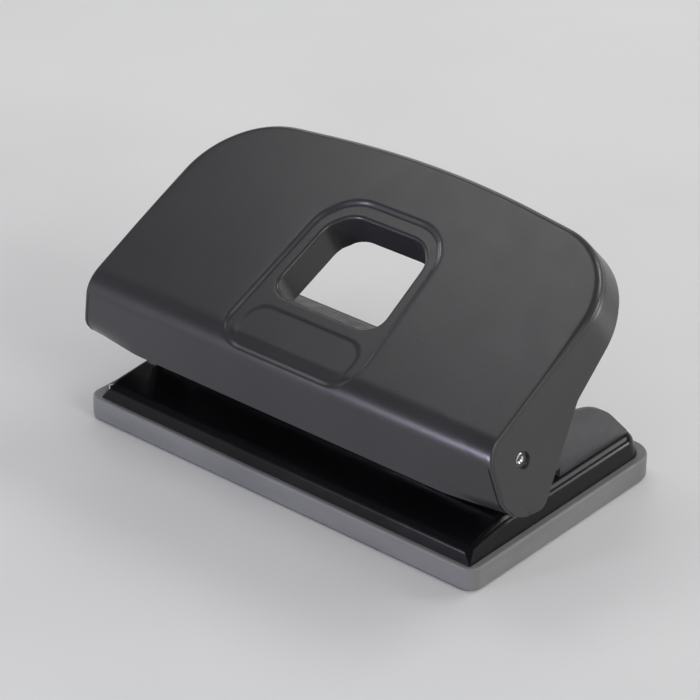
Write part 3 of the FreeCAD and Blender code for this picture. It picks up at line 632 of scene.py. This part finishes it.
@dataclass
class Handle:
    """Pressed lever: plate, front bend, apron, flared cheeks, sunk panel and rolled window.

    Places on the sheet are pairs: x across, and the run up the plate from its middle. The window
    and the panel have a half width, a run and a corner radius at their front and at their rear.
    """

    # Plate, front bend and apron
    plate_y: float = -1.95
    plate_z: float = 44.8
    tilt: float = math.radians(27.3)
    bend: float = 5.4
    nose_y: float = -28.35
    lean: float = math.radians(7.5)
    sheet: float = 1.0

    # Sides, arched rear and the rounded edge, which is tighter towards the front
    half_low: float = 52.1
    half_high: float = 51.3
    low_run: float = -40.0
    apex: float = 25.85
    arch: float = 6.3
    corner: float = 19.0
    draft: float = math.radians(14.5)
    edge: float = 1.8
    edge_low: float = 0.45
    edge_start: float = -15.0
    edge_growth: float = 30.0
    groove: float = 0.06

    # Window with its collar, sunk panel, and the label's half width, ends, corners and softness
    window_front: tuple = (13.6, -15.4, 4.0)
    window_rear: tuple = (12.4, 7.2, 6.6)
    roll: float = 0.75
    collar_depths: tuple = (8.0, 6.6, 5.2, 3.9, 2.8)
    taper: float = 0.5
    panel_front: tuple = (17.4, -29.6, 6.0)
    panel_rear: tuple = (15.0, 10.8, 9.6)
    panel_soft: float = 0.6
    sink: float = 0.8
    heart: float = -5.0
    label: tuple = (14.2, -28.7, -18.6, 4.2, 0.22)
    label_sink: float = 0.15

    # Pivot hole, and the apron's lower corners that curve back
    hole: float = 1.75
    curl: float = 5.2
    curl_hold: float = 0.76
    curl_top: float = 21.4
    curl_x: tuple = (40.5, 53.0)
    curl_y: tuple = (-17.0, -24.0)

    # Spacing of the rows down the apron and up the sides, wider off the bend than on it
    apron_reach: float = 15.0
    step_flat: float = 1.3
    step_bend: float = 0.55

    # How the sheet is divided: columns along the apron's foot, and rings on the window's roll,
    # across the panel, on each half of the panel's rim, across the plate and round the edge
    COLUMNS, ROLL, ACROSS_PANEL, RIM, ACROSS_PLATE, ROUND_EDGE = 78, 7, 44, 4, 34, 8

    # How far down the wall each strip lies, and the share of the groove's depth that it has
    WALL_STEPS = ((0.08, 0.5), (0.20, 1.0), (0.34, 0.5), (0.46, 0), (1.1, 0), (2.2, 0), (3.6, 0), (5.2, 0),
                  (7.0, 0), (9.0, 0), (11.0, 0), (13.0, 0), *((14.5 + 1.3 * k, 0) for k in range(18)))

    # The trimmed rim seen from the side, each corner with its radius: the apron's foot and the lobe
    # from the pivot, then the cheek by run and drop, and the tool's own corners clear of the sheet
    APRON_FOOT = (-26.9, -9.3)
    LOBE = ((-3.4, -10.8, 5.0), (3.3, -10.8, 3.2))
    CHEEK = ((-7.4, 9.9, 5.0), (3.6, 8.1, 6.0), (12.5, 7.2, 4.0), (80.0, 7.2, 0), (80.0, -40.0, 0))
    CLEAR_Y, CLEAR_Z = -68.0, 84.8

    def __post_init__(self) -> None:
        """Work out where the bend starts and ends along the sheet."""
        turn = math.pi / 2 - self.tilt + self.lean
        nose_run = (self.nose_y - self.plate_y) / math.cos(self.tilt)
        self.bend_run = nose_run + self.bend * math.tan(turn / 2)
        self.apron_run = self.bend_run - self.bend * turn
        self.up = Vector((0, -math.sin(self.tilt), math.cos(self.tilt)))
        self.run = Vector((0, math.cos(self.tilt), math.sin(self.tilt)))
        self.zero = Vector((0, self.plate_y, self.plate_z))

    def normal(self, run: float) -> Vector:
        """Give the sheet's outward normal at a distance along it."""
        turned = (self.bend_run - max(min(run, self.bend_run), self.apron_run)) / self.bend
        angle = math.pi / 2 + self.tilt + turned
        return Vector((0, math.cos(angle), math.sin(angle)))

    def sheet_point(self, x: float, run: float, depth: float = 0.0) -> Vector:
        """Give a point of the sheet.

        Args:
            x: Distance across.
            run: Distance up the sheet, below bend_run round the bend and down the apron.
            depth: How far inside the outer face.

        Returns:
            The point in millimetres.
        """
        out = self.normal(run)
        if run >= self.bend_run:
            point = self.zero + self.run * run
        else:
            centre = self.zero + self.run * self.bend_run - self.up * self.bend
            point = centre + out * self.bend
            if run < self.apron_run:
                point += Vector((0, math.sin(self.lean), -math.cos(self.lean))) * (self.apron_run - run)
        point = point - out * depth
        return Vector((x, point.y, point.z))

    def window(self, grow: float) -> Outline:
        """Outline of the window, let out by grow."""
        return self.four_corners(self.window_front, self.window_rear, grow)

    def panel(self, grow: float) -> Outline:
        """Outline of the sunk panel, let out by grow."""
        return self.four_corners(self.panel_front, self.panel_rear, grow)

    def four_corners(self, front: tuple, rear: tuple, grow: float) -> Outline:
        """Outline of a form with four rounded corners.

        Args:
            front: The half width, run and radius of its front corners.
            rear: The same of its rear corners.
            grow: How far it is let out.

        Returns:
            The outline's points.
        """
        (wide, low, low_round), (narrow, high, high_round) = front, rear
        return rounded_outline([
            (-wide - grow, low - grow, low_round + grow), (wide + grow, low - grow, low_round + grow),
            (narrow + grow, high + grow, high_round + grow), (-narrow - grow, high + grow, high_round + grow),
        ], step=0.2)

    def label_depth(self, x: float, run: float) -> float:
        """Give how deep the label's recess is at a place."""
        half, low, high, corner, soft = self.label
        across = abs(x) - half + corner
        upward = abs(run - (low + high) / 2) - (high - low) / 2 + corner
        outside = math.hypot(max(across, 0), max(upward, 0)) + min(max(across, upward), 0) - corner
        share = min(max(outside / soft, -1), 1)
        return self.label_sink * (0.5 - 0.5 * math.sin(share * math.pi / 2))

    def edge_places(self) -> list[tuple]:
        """Give the sheet's edge from the right end of the apron round the back to the left end.

        Returns:
            Rows of: the place on the sheet (x, run), the rounding's radius and centre, the
            sheet's normal, the wall's normal and the wall's downward direction.
        """
        slope = self.arch / self.half_high
        shoulder = self.apex - self.arch
        plan = rounded_outline([
            (self.half_low, self.low_run, 0), (self.half_high, shoulder, self.corner),
            (0, self.apex, self.half_high / 2 / slope), (-self.half_high, shoulder, self.corner),
            (-self.half_low, self.low_run, 0),
        ], step=1.2)[1:-1]
        side = Vector((shoulder - self.low_run, self.half_low - self.half_high)).normalized()
        right = []
        run = self.apron_run - self.apron_reach
        while run < plan[0][1] - 0.3:
            right.append(self.edge_row(self.half_low, self.low_run, side, run))
            on_bend = self.apron_run - 1 < run < self.bend_run + 1
            run += self.step_bend if on_bend else self.step_flat
        back = []
        for index, (x, y) in enumerate(plan):
            before = Vector(plan[max(index - 1, 0)])
            after = Vector(plan[min(index + 1, len(plan) - 1)])
            tangent = (after - before).normalized()
            out = side if index == 0 else Vector((tangent.y, -tangent.x))
            if index == len(plan) - 1:
                out = Vector((-side.x, side.y))
            back.append(self.edge_row(x, y, out, None))
        return right + back + [self.mirrored(row) for row in reversed(right)]

    def edge_row(self, x: float, y: float, out: Vector, run: float | None) -> tuple:
        """Work out one place of the sheet's edge.

        Args:
            x: A point of the wall's top edge, across.
            y: The same point, along the plate.
            out: The wall's outward direction in the plate.
            run: Where on the sheet the place is, or None for the point itself.

        Returns:
            The row that edge_places describes.
        """
        edge = self.edge_radius(y if run is None else run)
        flat = Vector((out.x, 0, 0)) + self.run * out.y
        wall = flat * math.cos(self.draft) + self.up * math.sin(self.draft)
        down = flat * math.sin(self.draft) - self.up * math.cos(self.draft)
        top = Vector((x, 0, 0)) + self.zero + self.run * y
        if run is None:
            inset = edge * (1 - math.sin(self.draft)) / math.cos(self.draft)
            centre = top - flat * inset - self.up * edge
            return (x - out.x * inset, y - out.y * inset), edge, centre, self.up, wall, down
        normal = self.normal(run)
        start = self.sheet_point(0, run, edge)
        across = (-edge - wall.dot(start - top)) / wall.x
        return (across, run), edge, Vector((across, start.y, start.z)), normal, wall, down

    def mirrored(self, row: tuple) -> tuple:
        """Mirror an edge row to the other side."""
        place, edge, *vectors = row
        return ((-place[0], place[1]), edge, *(Vector((-v.x, v.y, v.z)) for v in vectors))

    def edge_radius(self, run: float) -> float:
        """Give the edge's rounding, which is tighter towards the front bend."""
        return self.edge_low + (self.edge - self.edge_low) * ease((run - self.edge_start) / self.edge_growth)

    def along_rays(self, outline: Outline, rays: list[float]) -> list[float]:
        """Find where rays from the middle of the panel meet an outline.

        Args:
            outline: A closed outline round the middle.
            rays: The rays' angles.

        Returns:
            The distance along each ray.
        """
        spokes = [(math.atan2(y - self.heart, x), x, y - self.heart) for x, y in outline]
        spokes.sort()
        spokes = [(spokes[-1][0] - 2 * math.pi, *spokes[-1][1:])] + spokes
        spokes.append((spokes[1][0] + 2 * math.pi, *spokes[1][1:]))
        reach = []
        for ray in rays:
            angle = math.atan2(math.sin(ray), math.cos(ray))
            index = next(i for i in range(1, len(spokes)) if spokes[i][0] >= angle)
            _, x0, y0 = spokes[index - 1]
            _, x1, y1 = spokes[index]
            dx, dy = x1 - x0, y1 - y0
            bottom = math.cos(angle) * dy - math.sin(angle) * dx
            reach.append((x0 * dy - y0 * dx) / bottom if abs(bottom) > 1e-9 else math.hypot(x1, y1))
        return reach

    def rings(self) -> tuple:
        """Work out the rings of the sheet from the window's collar to the sheet's edge.

        Returns:
            The rings of points, the edge's rows, and how many points lie along the apron's foot.
        """
        rows = self.edge_places()
        corner_x, foot_run = rows[0][0]
        bottom = [(corner_x * (2 * k / self.COLUMNS - 1), foot_run) for k in range(1, self.COLUMNS)]
        edge = bottom + [row[0] for row in rows]
        rays = [math.atan2(run - self.heart, x) for x, run in edge]
        cos_sin = [(math.cos(ray), math.sin(ray)) for ray in rays]
        levels = []
        lowest, highest = self.collar_depths[0], self.collar_depths[-1]
        for depth in self.collar_depths:
            share = (depth - highest) / (lowest - highest)
            levels.append((self.along_rays(self.window(-self.taper * share), rays), depth))
        for part in range(self.ROLL + 1):
            angle = math.pi / 2 * part / self.ROLL
            grow = self.roll * (1 - math.cos(angle))
            depth = self.sink + self.roll * (1 - math.sin(angle))
            levels.append((self.along_rays(self.window(grow), rays), depth))
        inner = levels[-1][0]
        outer = self.along_rays(self.panel(-self.panel_soft), rays)
        for part in range(1, self.ACROSS_PANEL):
            levels.append((between(inner, outer, part / self.ACROSS_PANEL), self.sink))
        for part in range(2 * self.RIM + 1):
            share = part / self.RIM - 1
            depth = self.sink * (0.5 - 0.5 * math.sin(math.pi / 2 * share))
            levels.append((self.along_rays(self.panel(self.panel_soft * share), rays), depth))
        inner = levels[-1][0]
        outer = [math.hypot(x, run - self.heart) for x, run in edge]
        for part in range(1, self.ACROSS_PLATE + 1):
            levels.append((between(inner, outer, part / self.ACROSS_PLATE), 0.0))
        rings = []
        for reach, depth in levels:
            ring = []
            for (c, s), r in zip(cos_sin, reach):
                x, run = r * c, self.heart + r * s
                extra = self.label_depth(x, run) if depth <= self.sink else 0.0
                ring.append(self.sheet_point(x, run, depth + extra))
            rings.append(ring)
        return rings, rows, len(bottom)

    def walls(self, rows: list[tuple]) -> list[Ring]:
        """Work out the strips of the rounded edge and the walls, from the sheet's edge down."""
        strips = []
        for part in range(1, self.ROUND_EDGE + 1):
            share = part / self.ROUND_EDGE
            strip = []
            for _, edge, centre, normal, wall, _ in rows:
                angle = normal.angle(wall)
                out = normal * math.sin(angle * (1 - share)) + wall * math.sin(angle * share)
                strip.append(centre + out.normalized() * edge)
            strips.append(strip)
        for length, dip in self.WALL_STEPS:
            strips.append([
                centre + wall * (edge - dip * self.groove) + down * length
                for _, edge, centre, _, wall, down in rows
            ])
        return strips

    def trim_outline(self) -> Outline:
        """Give the outline, seen from the side, of what is left of the pressed sheet."""
        y, z = PIVOT
        foot_y, foot_drop = self.APRON_FOOT
        corners = [(self.CLEAR_Y, z + foot_drop, 0), (foot_y, z + foot_drop, 0)]
        corners += [(y + behind, z + above, radius) for behind, above, radius in self.LOBE]
        for run, drop, radius in self.CHEEK:
            point = self.zero + self.run * run - self.up * drop
            corners.append((point.y, point.z, radius))
        return rounded_outline([*corners, (self.CLEAR_Y, self.CLEAR_Z, 0)], step=0.4)

    def shell(self) -> Piece:
        """Model the pressed sheet ring by ring, give it its thickness and trim it.

        Returns:
            The finished shell.
        """
        rings, rows, bottom = self.rings()
        shell = add_ring("handle_pressing", rings[0], False)
        ring = list(range(len(rings[0])))
        for points in rings[1:]:
            ring = grow_strip(shell, ring, points, True)
        strip = ring[bottom:]
        for points in self.walls(rows):
            strip = grow_strip(shell, strip, points, False)
        bpy.ops.mesh.select_all(action="SELECT")
        bpy.ops.mesh.normals_make_consistent(inside=False)
        mesh = bmesh.from_edit_mesh(shell.data)
        top = max(mesh.faces, key=lambda face: face.calc_center_median().z)
        if top.normal.z < 0:
            bpy.ops.mesh.flip_normals()
        end_edit()
        modify(shell, "SOLIDIFY", thickness=self.sheet * MM, offset=-1.0, use_even_offset=True,
               use_quality_normals=True)
        cut_with(shell, add_slab("keep", self.trim_outline(), half=75.0), Cut.KEEP_INSIDE)
        cut_with(shell, add_rod("pin_hole", (0, *PIVOT), self.hole, length=140.0, axis="X"), Cut.TAKE_AWAY)
        self.set_back(shell)
        smooth(shell, 38.0)
        return shell

    def set_back(self, shell: Piece) -> None:
        """Curve the front's two lower corners backwards, as the press leaves them."""
        mesh = start_edit(shell)
        (inner, outer), (rear, front) = self.curl_x, self.curl_y
        for vertex in mesh.verts:
            point = vertex.co / MM
            across = min(max((abs(point.x) - inner) / (outer - inner), 0.0), 1.0)
            share = across * ease((rear - point.y) / (rear - front))
            below = min(max(self.curl_top - point.z, 0.0), self.curl_hold * self.curl)
            vertex.co.y += share * (self.curl - math.sqrt(self.curl ** 2 - below ** 2)) * MM
        bmesh.update_edit_mesh(shell.data)
        end_edit()


@dataclass
class BasePlate:
    """Pressed base: drafted skirt turned down all round, front ramp and notched front corners."""

    half: float = 48.7
    front: float = -28.55
    back: float = 27.25
    low: float = 5.1
    top: float = 9.7
    sheet: float = 1.2
    draft: float = math.radians(12.0)
    ramp_start: float = -16.95
    ramp_angle: float = math.radians(6.5)
    crease: float = 0.85
    corner: float = 4.0
    notch: float = 1.7
    rim: float = 1.55
    rim_zone: float = 3.0
    die_hole: float = 3.08

    def slice_off(self, plate: Piece, place: Vector, normal: Vector) -> None:
        """Cut the plate by a plane and close the cut."""
        start_edit(plate)
        bpy.ops.mesh.select_all(action="SELECT")
        bpy.ops.mesh.bisect(plane_co=place * MM, plane_no=normal, use_fill=True, clear_outer=True,
                            threshold=1e-7)
        end_edit()

    def on_rim(self, edge: Edge) -> bool:
        """Tell whether an edge lies round the top, where a side wall begins."""
        centre = middle(edge) / MM
        inset = (self.top - self.low) * math.tan(self.draft) + self.rim_zone
        beside = abs(centre.x) > self.half - inset or centre.y > self.back - inset
        above = min(v.co.z for v in edge.verts) > (self.low + self.rim_zone / 2) * MM
        return above and (beside or centre.y < self.front + self.rim_zone)

    def pressing(self) -> Piece:
        """Model the pressed plate.

        Returns:
            The finished plate.
        """
        foot_corner, top_corner = (-self.half, self.front, self.low), (self.half, self.back, self.top)
        plate = add_block("base_pressing", foot_corner, top_corner)
        lean = (self.top - self.low) * math.tan(self.draft)
        depth = (self.back - self.front) / 2
        start_edit(plate)
        pick(plate, Element.FACE, lambda face: face.normal.z > 0.9)
        shrink = ((self.half - lean) / self.half, (depth - lean) / depth, 1)
        centre = Vector((0, (self.front + self.back) / 2, self.top)) * MM
        bpy.ops.transform.resize(value=shrink, center_override=centre)
        end_edit()
        slope = Vector((0, -math.sin(self.ramp_angle), math.cos(self.ramp_angle)))
        self.slice_off(plate, Vector((0, self.ramp_start, self.top)), slope)
        start_edit(plate)
        round_edges(plate, lambda e: abs(along(e).x) > 0.9 and abs(middle(e).y / MM - self.ramp_start) < 0.1,
                    self.crease, 3)
        round_edges(plate, lambda e: upright(e) and middle(e).y > 0, self.corner, 10)
        end_edit()
        for side in (-1, 1):
            foot = Vector((self.half * side, self.front, self.low))
            tops = [v.co / MM for v in plate.data.vertices if v.co.z > (self.low + 1) * MM]
            peak = min(tops, key=lambda p: (p - foot).length)
            inward = peak + Vector((-side * self.notch, 0, 0))
            onward = peak + Vector((0, math.cos(self.ramp_angle), math.sin(self.ramp_angle))) * self.notch
            across = (inward - foot).cross(onward - foot).normalized()
            self.slice_off(plate, foot, across if across.y < 0 else -across)
        start_edit(plate)
        round_edges(plate, self.on_rim, self.rim, 5)
        pick(plate, Element.FACE, lambda face: face.normal.z < -0.9)
        bpy.ops.mesh.delete(type="FACE")
        end_edit()
        modify(plate, "SOLIDIFY", thickness=self.sheet * MM, offset=-1.0, use_even_offset=True)
        for x in (-PUNCH_X, PUNCH_X):
            die = add_rod("die_hole", (x, PUNCH_Y, self.top), self.die_hole, length=5.0, axis="Z", sides=48)
            cut_with(plate, die, Cut.TAKE_AWAY)
        smooth(plate, 30.0)
        modify(plate, "WEIGHTED_NORMAL", keep_sharp=True)
        return plate


@dataclass
class ChipTray:
    """Moulded tray: a rounded block with a lip that snaps inside the base, hollowed for the chips."""

    left: float = -52.0
    right: float = 50.3
    half: float = 29.55
    top: float = 5.1
    lip_top: float = 6.6
    floor: float = 1.3
    lip: tuple = (47.004, -26.854, 25.554)
    lip_root: float = 2.0
    wall: float = 1.1
    corners: tuple = (2.8, 5.6)
    lip_corners: tuple = (1.4, 2.3)
    hollow_corners: tuple = (2.6, 2.6)
    foot: float = 0.6
    brim: float = 0.55

    def moulding(self) -> Piece:
        """Model the tray.

        Returns:
            The finished tray.
        """
        tray = add_block("tray_moulding", (self.left, -self.half, 0), (self.right, self.half, self.top))
        self.round_corners(tray, self.corners, (8, 12))
        start_edit(tray)
        round_edges(tray, lambda e: max(v.co.z for v in e.verts) < 0.0001, self.foot, 3)
        round_edges(tray, lambda e: min(v.co.z for v in e.verts) > (self.top - 0.01) * MM, self.brim, 4)
        end_edit()
        x, front, back = self.lip
        lip = add_block("lip", (-x, front, self.lip_root), (x, back, self.lip_top))
        self.round_corners(lip, self.lip_corners)
        cut_with(tray, lip, Cut.JOIN)
        w = self.wall
        hollow = add_block("hollow", (-x + w, front + w, self.floor), (x - w, back - w, self.lip_top + 2))
        self.round_corners(hollow, self.hollow_corners)
        cut_with(tray, hollow, Cut.TAKE_AWAY)
        smooth(tray)
        modify(tray, "WEIGHTED_NORMAL", keep_sharp=True)
        return tray

    def round_corners(self, block: Piece, widths: tuple, segments: tuple = (6, 8)) -> None:
        """Round a block's upright edges, given for the front ones and then the back ones.

        Args:
            block: The block.
            widths: The roundings' widths in millimetres.
            segments: The roundings' segments.
        """
        start_edit(block)
        round_edges(block, lambda e: upright(e) and middle(e).y < 0, widths[0], segments[0])
        round_edges(block, lambda e: upright(e) and middle(e).y > 0, widths[1], segments[1])
        end_edit()


@dataclass
class Hardware:
    """Shaft and rivets, modelled with their rounded ends.

    A rivet's head, shank and tail each have a radius and a height.
    """

    shaft_radius: float = 1.5
    shaft_half: float = 53.2
    shaft_round: float = 0.55
    dimple_rim: float = 0.35
    dimple: float = 0.25
    rivet_xs: tuple = (-33.0, -11.0, 11.0, 33.0)
    rivet_y: float = 11.65
    seat: float = 11.1
    head: tuple = (2.9, 1.2)
    dome: float = 1.05
    shank: tuple = (1.6, 3.4)
    shank_middle: float = 9.8
    tail: tuple = (2.3, 0.8)
    tail_middle: float = 8.1
    tail_round: float = 0.4

    def shaft(self) -> Piece:
        """Model the shaft with its domed ends."""
        shaft = add_rod("shaft_pin", (0, *PIVOT), self.shaft_radius, self.shaft_half * 2, "X", sides=48)
        start_edit(shaft)
        pick(shaft, Element.FACE, lambda face: abs(face.normal.x) > 0.9)
        bpy.ops.mesh.region_to_loop()
        bevel(self.shaft_round, 5)
        for side in (-1, 1):
            pick(shaft, Element.FACE, lambda face, side=side: face.normal.x * side > 0.999)
            bpy.ops.mesh.inset(thickness=self.dimple_rim * MM)
            bpy.ops.transform.translate(value=(-side * self.dimple * MM, 0, 0))
        end_edit()
        smooth(shaft, 35.0)
        return shaft

    def rivets(self) -> Piece:
        """Model one rivet with its domed head, copy it along the row and join the row."""
        place = (self.rivet_xs[0], self.rivet_y)
        rivet = add_rod("frame_rivet_heads", (*place, self.seat + self.head[1] / 2), *self.head, "Z", 40)
        start_edit(rivet)
        round_edges(rivet, lambda e: min(v.co.z for v in e.verts) > (self.seat + 1.1) * MM, self.dome, 6)
        end_edit()
        cut_with(rivet, add_rod("shank", (*place, self.shank_middle), *self.shank, "Z", 32), Cut.JOIN)
        tail = add_rod("tail", (*place, self.tail_middle), *self.tail, "Z", 32)
        start_edit(tail)
        round_edges(tail, lambda e: max(v.co.z for v in e.verts) < 7.71 * MM, self.tail_round, 3)
        end_edit()
        cut_with(rivet, tail, Cut.JOIN)
        smooth(rivet, 35.0)
        copies = []
        for x in self.rivet_xs[1:]:
            twin = rivet.copy()
            twin.data = rivet.data.copy()
            bpy.context.scene.collection.objects.link(twin)
            twin.location.x = (x - self.rivet_xs[0]) * MM
            copies.append(twin)
        select_only(rivet)
        for twin in copies:
            twin.select_set(True)
        bpy.ops.object.join()
        return settle(rivet, "frame_rivet_heads")


@dataclass
class ReturnSpring:
    """Compression spring of round wire with a closed turn at each end."""

    x: float
    low: float = 13.37
    high: float = 22.5
    radius: float = 3.85
    wire: float = 0.35
    turns: float = 5.0
    closed_pitch: float = 2.1
    steps: int = 26
    sides: int = 12
    stroke: float = 3.9

    def height(self, turn: float) -> float:
        """Give the wire's height after a number of turns; the first and the last lie closed."""
        closed = self.closed_pitch * self.wire
        rise = (self.high - self.low - 2 * self.wire - 2 * closed) / (self.turns - 2)
        middle_turns = min(max(turn - 1, 0), self.turns - 2)
        return self.low + self.wire + closed * (turn - middle_turns) + rise * middle_turns

    def coil(self, name: str) -> Piece:
        """Model the spring ring by ring along its helix.

        Args:
            name: The piece's name.

        Returns:
            The closed coil.
        """
        spokes = [2 * math.pi * k / self.sides for k in range(self.sides)]
        rings = []
        for step in range(int(self.turns * self.steps) + 1):
            angle = 2 * math.pi * step / self.steps
            out = Vector((math.cos(angle), math.sin(angle), 0))
            centre = Vector((self.x, PUNCH_Y, self.height(step / self.steps))) + out * self.radius
            rim = [out * math.cos(spoke) + Vector((0, 0, math.sin(spoke))) for spoke in spokes]
            rings.append([centre + point * self.wire for point in rim])
        spring = add_ring(name, rings[0], True)
        ring = list(range(self.sides))
        for points in rings[1:]:
            ring = grow_strip(spring, ring, points, True)
        bpy.ops.mesh.edge_face_add()
        end_edit()
        face_outwards(spring)
        smooth(spring, 50.0)
        return spring

    def follow(self, spring: Piece, joint: str) -> None:
        """Give the spring a mesh of its own."""
        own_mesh(spring)


@dataclass(frozen=True)
class Lamp:
    """Soft rectangular lamp that faces the punch, with its place and size in metres."""

    name: str
    place: tuple
    size: tuple
    power: float
    colour: Colour = (1, 1, 1)

    def hang(self) -> None:
        """Put the lamp into the scene."""
        data = bpy.data.lights.new(self.name, "AREA")
        data.shape = "RECTANGLE"
        data.size, data.size_y = self.size
        data.energy = self.power
        data.color = self.colour
        lamp = bpy.data.objects.new(self.name, data)
        lamp.location = self.place
        aim = Vector((0, 0, 0.02)) - Vector(self.place)
        lamp.rotation_euler = aim.to_track_quat("-Z", "Y").to_euler()
        bpy.context.scene.collection.objects.link(lamp)


LAMPS = (
    Lamp("plate_soft", (-0.32, 0.09, 0.62), (0.22, 0.22), 0.40),
    Lamp("rear_left", (-0.53, 0.62, 0.44), (0.34, 0.30), 0.65),
    Lamp("back_soft", (0.25, 0.75, 0.70), (0.5, 0.3), 2.4),
    Lamp("right_soft", (0.80, -0.10, 0.42), (0.4, 0.4), 2.7),
    Lamp("right_rim", (0.55, 0.60, 0.16), (0.15, 0.25), 1.0),
    Lamp("left_rim", (-0.70, 0.05, 0.16), (0.15, 0.30), 0.7),
    Lamp("bend_glint", (-0.140, -0.45, 0.040), (0.04, 0.08), 0.95, (0.78, 0.77, 1.0)),
    Lamp("front_blue", (0.12, -0.80, 0.30), (0.35, 0.25), 0.35, (0.66, 0.70, 1.0)),
)


@dataclass
class Studio:
    """Floor, world, and the camera at the photograph's angle, in millimetres.

    The surroundings fade from the horizon to the sky, each with its height and its strength.
    """

    azimuth: float = math.radians(40.90)
    elevation: float = math.radians(29.165)
    target: tuple = (0.0, -1.95, 14.14)
    distance: float = 604.1
    shift_right: float = -3.08
    shift_up: float = 7.58
    lens: float = 154.29
    floor_dark: Colour = (0.70, 0.70, 0.70)
    floor_light: Colour = (0.73, 0.73, 0.73)
    fill: float = 0.42
    horizon: tuple = (0.02, 0.72)
    sky: tuple = (0.40, 0.10)

    def camera(self) -> None:
        """Set up the camera."""
        a, e = self.azimuth, self.elevation
        back = Vector((math.sin(a) * math.cos(e), -math.cos(a) * math.cos(e), math.sin(e)))
        right = Vector((math.cos(a), math.sin(a), 0))
        up = back.cross(right)
        place = Vector(self.target) + back * self.distance + right * self.shift_right + up * self.shift_up
        data = bpy.data.cameras.new("camera")
        data.lens = self.lens
        data.sensor_width = 36.0
        data.clip_start = 0.02
        data.clip_end = 20.0
        camera = bpy.data.objects.new("camera", data)
        camera.location = place * MM
        camera.rotation_euler = (-back).to_track_quat("-Z", "Y").to_euler()
        bpy.context.scene.collection.objects.link(camera)
        bpy.context.scene.camera = camera

    def build(self) -> None:
        """Make the floor, the world and the lamps."""
        bpy.ops.mesh.primitive_plane_add(size=6.0, location=(0, 0, -0.0002))
        floor = settle(bpy.context.object, "studio_floor")
        graph = Graph(bpy.data.materials.new("floor_paper"))
        tone = graph.remap(graph.noise(60.0), 0.3, 0.7)
        floor.data.materials.append(graph.finish(graph.blend(tone, self.floor_dark, self.floor_light), 0.9))
        self.world()
        for lamp in LAMPS:
            lamp.hang()
        bpy.context.scene.view_settings.view_transform = "Standard"

    def world(self) -> None:
        """Pale surroundings for the camera and gloss, darker overhead, and an even fill for the rest."""
        graph = Graph(bpy.data.worlds.new("studio"))
        bpy.context.scene.world = graph.owner
        rays = graph.add("ShaderNodeLightPath").outputs
        seen = graph.add("ShaderNodeMath")
        seen.operation = "MAXIMUM"
        graph.feed(seen.inputs[0], rays["Is Camera Ray"])
        graph.feed(seen.inputs[1], rays["Is Glossy Ray"])
        axes = graph.add("ShaderNodeSeparateXYZ", Vector=graph.coordinates["Generated"])
        (low, bright), (high, dim) = self.horizon, self.sky
        surroundings = graph.remap(axes.outputs["Z"], low, high, bright, dim)
        mix = graph.add("ShaderNodeMix")
        mix.data_type = "FLOAT"
        for index, value in ((0, seen.outputs[0]), (2, self.fill), (3, surroundings)):
            graph.feed(mix.inputs[index], value)
        shade = graph.tree.nodes["Background"]
        graph.feed(shade.inputs["Strength"], mix.outputs[0])
        graph.feed(shade.inputs["Color"], (1, 1, 1, 1))


def main() -> None:
    """Build the scene in order."""
    logging.basicConfig(level=logging.INFO, format="%(name)s %(message)s")
    studio = Studio()
    studio.camera()
    studio.build()
    finishes = {finish.name: finish.build() for finish in FINISHES}
    slots = {row["node"]: row["material_slot"] for row in frame["record"]["subparts"]}
    for node, thing in frame["nodes"].items():
        thing.data.materials.clear()
        thing.data.materials.append(finishes[slots[node]])
    homes = {node: body for body, nodes in frame["record"]["behaviour"]["bodies"].items() for node in nodes}
    made = {
        "handle_shell": Handle().shell(),
        "base_plate": BasePlate().pressing(),
        "chip_tray": ChipTray().moulding(),
        "pivot_shaft": Hardware().shaft(),
        "frame_rivets": Hardware().rivets(),
    }
    for node, edge in SOFT_EDGES.items():
        made[node] = soft_copy(node, edge)
    springs = {"left": ReturnSpring(-PUNCH_X), "right": ReturnSpring(PUNCH_X)}
    for side, spring in springs.items():
        made[f"{side}_spring"] = spring.coil(f"{side}_coil")
    for node, piece in made.items():
        dress(piece, finishes[slots[node]], homes[node], node)
    for side, spring in springs.items():
        spring.follow(made[f"{side}_spring"], f"{side}_punch_slide")


if __name__ == "__main__":
    main()
